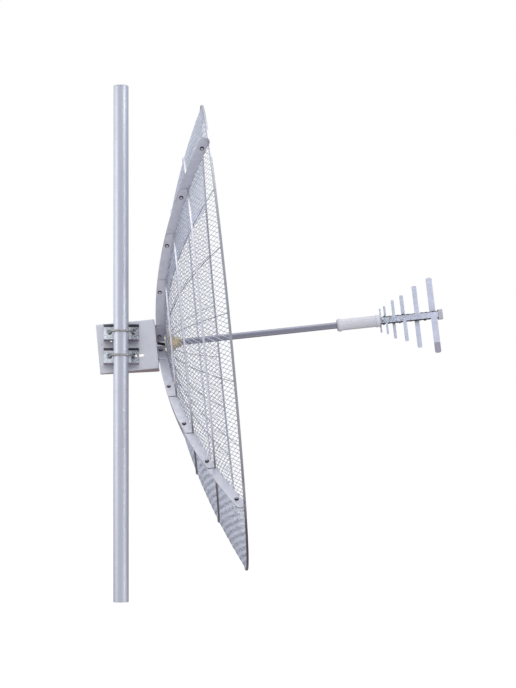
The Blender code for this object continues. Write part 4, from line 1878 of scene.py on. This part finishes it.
@dataclass
class Boom:
    """The plated cone, the boom and the plastic sleeve at its end, in the boom's frame."""

    radius: float = 0.01045
    end: float = 0.624
    chamfer: float = 0.0004
    cone_back: float = 0.0031
    cone_rim: float = 0.004
    cone_radius: float = 0.0535
    cone_end: float = 0.036
    cone_bow: float = 0.0012
    rim_round: float = 0.0008
    collar: float = 0.0165
    collar_end: float = 0.050
    collar_round: float = 0.001
    sleeve_back: float = 0.5587
    sleeve_front: float = 0.699
    sleeve: float = 0.0185
    sleeve_step: float = 0.638
    bead: float = 0.0215
    bead_span: tuple[float, float] = (0.0010, 0.0156)
    ring: float = 0.020
    ring_length: float = 0.0137
    ring_round: float = 0.0022
    cavity: float = 0.0159

    def cone(self) -> None:
        """Builds the cone with rounded rims, hollow flanks and a collar."""
        back, rim, outer = self.cone_back, self.rim_round, self.cone_radius
        bore, socket = self.radius + GAP, back + 2 * self.cone_rim
        profile = [(back, 0.0)]
        profile += arc((back + rim, outer - rim), rim, 180, 90)
        profile += arc((back + self.cone_rim - rim, outer - rim), rim, 90, 10)
        shoulder, steps = 0.75 * outer, 12
        for k in range(1, steps + 1):
            part = k / steps
            bow = self.cone_bow * math.sin(math.pi * part)
            profile.append((
                socket + (self.cone_end - socket) * part - bow,
                shoulder + (self.collar - shoulder) * part - bow,
            ))
        turn = self.collar_round
        profile += arc((self.collar_end - turn, self.collar - turn), turn, 90, 0)
        profile += [(self.collar_end, bore), (socket, bore), (socket, 0.0)]
        Shape().turned(profile, 64).piece(
            "plated_cone", BOOM_FRAME, Finishes.YELLOW, 30, ["boom_cone"]
        )

    def tube(self) -> None:
        """Builds the boom."""
        start, end, cut = self.cone_back + 2 * self.cone_rim + GAP, self.end, self.chamfer
        profile = (
            (start, 0.0), (start, self.radius - cut), (start + cut, self.radius),
            (end - cut, self.radius), (end, self.radius - cut), (end, 0.0),
        )
        Shape().turned(profile, 48).piece("boom_tube", BOOM_FRAME, Finishes.BOOM, 30, ["boom"])

    def cover(self) -> None:
        """Builds the sleeve with its bead, its end ring and rounded shoulders."""
        back, front, bore = self.sleeve_back, self.sleeve_front, self.radius + GAP
        ring, turn, steps = front - self.ring_length, self.ring_round, 14
        profile = [(back, bore), (back, self.sleeve - 0.001)]
        start, length = self.bead_span
        for k in range(steps + 1):
            part = k / steps
            swell = (self.bead - self.sleeve) * math.sin(math.pi * part) ** 0.8
            profile.append((back + start + length * part, self.sleeve + swell))
        profile += [(ring - 0.0010, self.sleeve), (ring - 0.0004, self.sleeve + 0.0003)]
        profile += arc((ring + turn / 2, self.ring - turn / 2), turn / 2, 180, 90, 4)
        profile += arc((front - turn, self.ring - turn), turn, 90, 0)
        profile += [(front, self.cavity), (self.sleeve_step, self.cavity), (self.sleeve_step, bore)]
        Shape().turned(profile, 64).piece(
            "moulded_sleeve", BOOM_FRAME, Finishes.SLEEVE, 35, ["feed_sleeve"]
        )

    def build(self) -> None:
        """Builds the pieces."""
        self.cone()
        self.tube()
        self.cover()


@dataclass
class Feed:
    """The bars with their elements, the core between them and the end block, in the boom's frame.

    screws holds places along the near bar. clips holds the place, the side (1 above, -1 below), the
    length and the share of it by which the clip's back leans in.
    """

    back: float = 0.652
    core_front: float = 0.8910
    core_half: tuple[float, float] = (0.0086, 0.0126)
    core_edge: float = 0.0012
    waves: tuple[float, float] = (0.0013, 0.0010)
    bar_face: float = 0.0105
    screws: tuple[float, ...] = (0.712, 0.7325, 0.765, 0.802, 0.850)
    screw: tuple[float, float] = (0.0024, 0.0013)
    clips: tuple[tuple[float, int, float, float], ...] = (
        (0.7145, 1, 0.0052, 0.30),
        (0.7750, 1, 0.0052, 0.30),
        (0.7120, -1, 0.0052, 0.30),
        (0.7650, -1, 0.0052, 0.30),
        (0.8480, -1, 0.0100, 0.15),
    )
    clip_height: float = 0.0042
    clip_root: float = 0.0022
    clip_half_width: float = 0.0085
    clip_edge: float = 0.0007
    block_length: float = 0.0143
    block_half: tuple[float, float] = (0.0125, 0.016)
    block_edge: float = 0.002
    recess: tuple[float, float] = (0.72, 0.76)

    def core(self) -> None:
        """Builds the black core, whose top and bottom are wavy like a laced cable."""
        rings = []
        half, tall = self.core_half
        above, below = self.waves
        for place in np.linspace(self.back, self.core_front, 90):
            wave = 0.5 + 0.5 * math.sin(place * 310.0 + 1.3 * math.sin(place * 97.0))
            top = tall - above + above * wave
            low = tall - below + below * math.sin(place * 211.0 + 2.0) ** 2
            outline = rounded_box((-half, -low), (half, top), self.core_edge, 2)
            rings.append([(place, y, z) for y, z in outline])
        Shape().sweep(rings).piece(
            "laced_core", BOOM_FRAME, Finishes.BLACK_PLASTIC, 40, ["feed_core"]
        )

    def clip_set(self) -> None:
        """Builds the small black clips that stand above and below the bars."""
        shape = Shape()
        ends = (-self.clip_half_width, self.clip_half_width)
        for along, way, length, lean in self.clips:
            base = way * (self.core_half[1] - self.clip_root)
            top = base + way * self.clip_height
            corners = (
                (along - length / 2, base), (along + length / 2, base),
                (along + length * 0.30, top), (along - length * lean, top),
            )
            outline = rounded([(*corner, self.clip_edge) for corner in corners], 2)
            shape.prism(outline, ends, "xzy")
        shape.piece("lacing_clips", BOOM_FRAME, Finishes.BLACK_PLASTIC, 30)

    def screw_set(self) -> None:
        """Builds the pan-head screws that hold the near bar."""
        shape = Shape()
        radius, height = self.screw
        low, crown = 0.0004, 0.0010
        profile = [(0.00005, 0.0), (0.00005, radius)]
        for turn in np.linspace(0.1, 1.2, 5):
            profile.append((low + crown * math.sin(turn), radius * math.cos(turn)))
        profile.append((height, 0.0))
        outward = Matrix.Rotation(-math.pi / 2, 4, "Z")
        for along in self.screws:
            shape.turned(profile, 20, Matrix.Translation((along, -self.bar_face, 0.0)) @ outward)
        shape.piece("feed_screws", BOOM_FRAME, Finishes.BOLTS, 30)

    def end_block(self) -> None:
        """Builds the block with rounded corners and a recess in its outer face."""
        start = self.core_front + GAP
        end = start + self.block_length
        half, tall = self.block_half
        wide, high = half * self.recess[0], tall * self.recess[1]
        outline = rounded_box((-half, -tall), (half, tall), self.block_edge)
        inner = rounded_box((-wide, -high), (wide, high), self.block_edge)
        block = Shape().prism(outline, (start, end), "yzx").mesh("block")
        recess = Shape().prism(inner, (end - 0.002, end + 0.01), "yzx").mesh("recess")
        made = combined(block, [recess], "DIFFERENCE")
        placed("moulded_end_block", made, BOOM_FRAME, Finishes.BLOCK, 30, ["feed_end_block"])

    def build(self) -> None:
        """Builds the pieces and dresses the bars."""
        for node in ("near_feed_bar", "far_feed_bar"):
            finish_node(node, Finishes.FEED)
        self.core()
        self.clip_set()
        self.screw_set()
        self.end_block()


@dataclass
class Studio:
    """The pale floor, the soft lights and the camera at the photograph's viewpoint."""

    camera_place: Point = (0.2266, -4.9019, 0.3594)
    camera_turns: tuple[float, float, float] = (-0.46, 95.20, -2.42)
    focal_pixels: float = 1551.135
    image_height: float = 688.0
    sensor: float = 36.0
    middle: Point = (0.3, 0.1, 0.8)
    floor_radius: float = 14.0
    floor_glow: float = 0.95
    floor_drop: float = 0.0005
    dark: Colour = (0.42, 0.40, 0.43)
    sky: tuple[tuple[float, Colour], ...] = (
        (0.0, (1.05, 1.04, 1.08)),
        (0.18, (0.76, 0.75, 0.79)),
        (0.38, (0.76, 0.76, 0.80)),
        (0.55, (0.76, 0.77, 0.81)),
        (0.75, (0.80, 0.82, 0.87)),
        (1.0, (1.08, 1.10, 1.14)),
    )

    def camera(self) -> None:
        """Places the camera."""
        roll, pitch, heading = (math.radians(turn) for turn in self.camera_turns)
        made = bpy.data.cameras.new("camera")
        made.sensor_width = self.sensor
        made.lens = self.focal_pixels / self.image_height * self.sensor
        thing = bpy.data.objects.new("camera", made)
        bpy.context.scene.collection.objects.link(thing)
        turn = Matrix.Rotation(heading, 4, "Z") @ Matrix.Rotation(pitch, 4, "X")
        turn = turn @ Matrix.Rotation(roll, 4, "Z")
        thing.matrix_world = Matrix.Translation(self.camera_place) @ turn
        bpy.context.scene.camera = thing

    def floor(self) -> None:
        """Lays the pale floor, which glows evenly so that the mesh stays clear in front of it."""
        shader = Shader("studio_floor")
        cloud = shader.noise(0.8, 2.0)
        shader.surface(
            Base_Color=shader.mix(cloud, (0.055, 0.055, 0.056), (0.045, 0.045, 0.046)),
            Roughness=0.9,
            Emission_Color=(1.0, 1.0, 1.0),
            Emission_Strength=self.floor_glow,
        )
        bm = bmesh.new()
        bmesh.ops.create_circle(bm, cap_ends=True, segments=96, radius=self.floor_radius)
        mesh = bpy.data.meshes.new("floor")
        bm.to_mesh(mesh)
        bm.free()
        thing = bpy.data.objects.new("floor", mesh)
        thing.location = (0.0, 0.0, -self.floor_drop)
        thing.data.materials.append(shader.material)
        thing.visible_diffuse = thing.visible_glossy = False
        bpy.context.scene.collection.objects.link(thing)

    def area(
        self, name: str, place: Point, size: Point, power: float, matt: bool = False
    ) -> None:
        """Hangs one soft light that faces the antenna's middle.

        Args:
            name: its name.
            place: where it hangs.
            size: its width and height.
            power: its power in watts.
            matt: whether it is left out of reflections.
        """
        made = bpy.data.lights.new(name, "AREA")
        made.shape = "RECTANGLE"
        made.size, made.size_y = size
        made.energy = power
        thing = bpy.data.objects.new(name, made)
        bpy.context.scene.collection.objects.link(thing)
        way = Vector(self.middle) - Vector(place)
        thing.location = place
        thing.rotation_euler = way.to_track_quat("-Z", "Y").to_euler()
        thing.visible_glossy = not matt

    def world(self) -> None:
        """Sets a surrounding that is seen white, and that is darkest low behind the antenna."""
        world = bpy.data.worlds.new("studio_world")
        world.use_nodes = True
        world.node_tree.nodes.clear()
        nodes = Nodes(world.node_tree)
        _, back, height = nodes.parts(nodes.node("ShaderNodeTexCoord", {}, {})["Generated"])
        inputs = {"Fac": height * 0.5 + 0.5}
        sky = nodes.node("ShaderNodeValToRGB", {"stops": self.sky}, inputs)["Color"]
        shaded = back.above(0.25, 0.5) * (1 - height.above(0.03, 0.16))
        light = nodes.node("ShaderNodeBackground", {}, {"Color": nodes.mix(shaded, sky, self.dark)})
        seen = nodes.node("ShaderNodeBackground", {}, {"Color": (1.0, 1.0, 1.0)})
        path = nodes.node("ShaderNodeLightPath", {}, {})["Is Camera Ray"]
        inputs = {0: path, 1: light["Background"], 2: seen["Background"]}
        mixed = nodes.node("ShaderNodeMixShader", {}, inputs)
        nodes.node("ShaderNodeOutputWorld", {}, {"Surface": mixed["Shader"]})
        bpy.context.scene.world = world
        bpy.context.scene.view_settings.view_transform = "Standard"

    def build(self) -> None:
        """Sets up the whole studio."""
        self.camera()
        self.floor()
        self.world()
        self.area("left_softbox", (-4.4, -1.6, 1.6), (3.2, 3.2), 34.0)
        self.area("left_back_softbox", (-4.2, 1.9, 1.6), (2.4, 3.2), 16.0)
        self.area("right_softbox", (3.8, -2.7, 1.6), (1.7, 3.2), 42.0)
        self.area("top_softbox", (0.3, 0.2, 4.6), (3.6, 3.6), 40.0)
        self.area("front_softbox", (1.0, -6.2, 3.4), (4.0, 2.4), 150.0, True)


def main() -> None:
    """Builds the antenna's pieces and the studio, and reports each."""
    logging.basicConfig(level=logging.INFO, format="%(message)s")
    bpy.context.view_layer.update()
    for thing in [each for each in bpy.data.objects if each.type in ("CAMERA", "LIGHT")]:
        bpy.data.objects.remove(thing, do_unlink=True)
    bowl = Bowl()
    petals = Petals(ExpandedSheet(bowl), SheetMetal(bowl))
    for assembly in (Mast(), Clamps(), Bracket(), Hub(), petals, Boom(), Feed(), Studio()):
        assembly.build()
        LOG.info("%s is done", type(assembly).__name__)


if __name__ == "__main__":
    main()
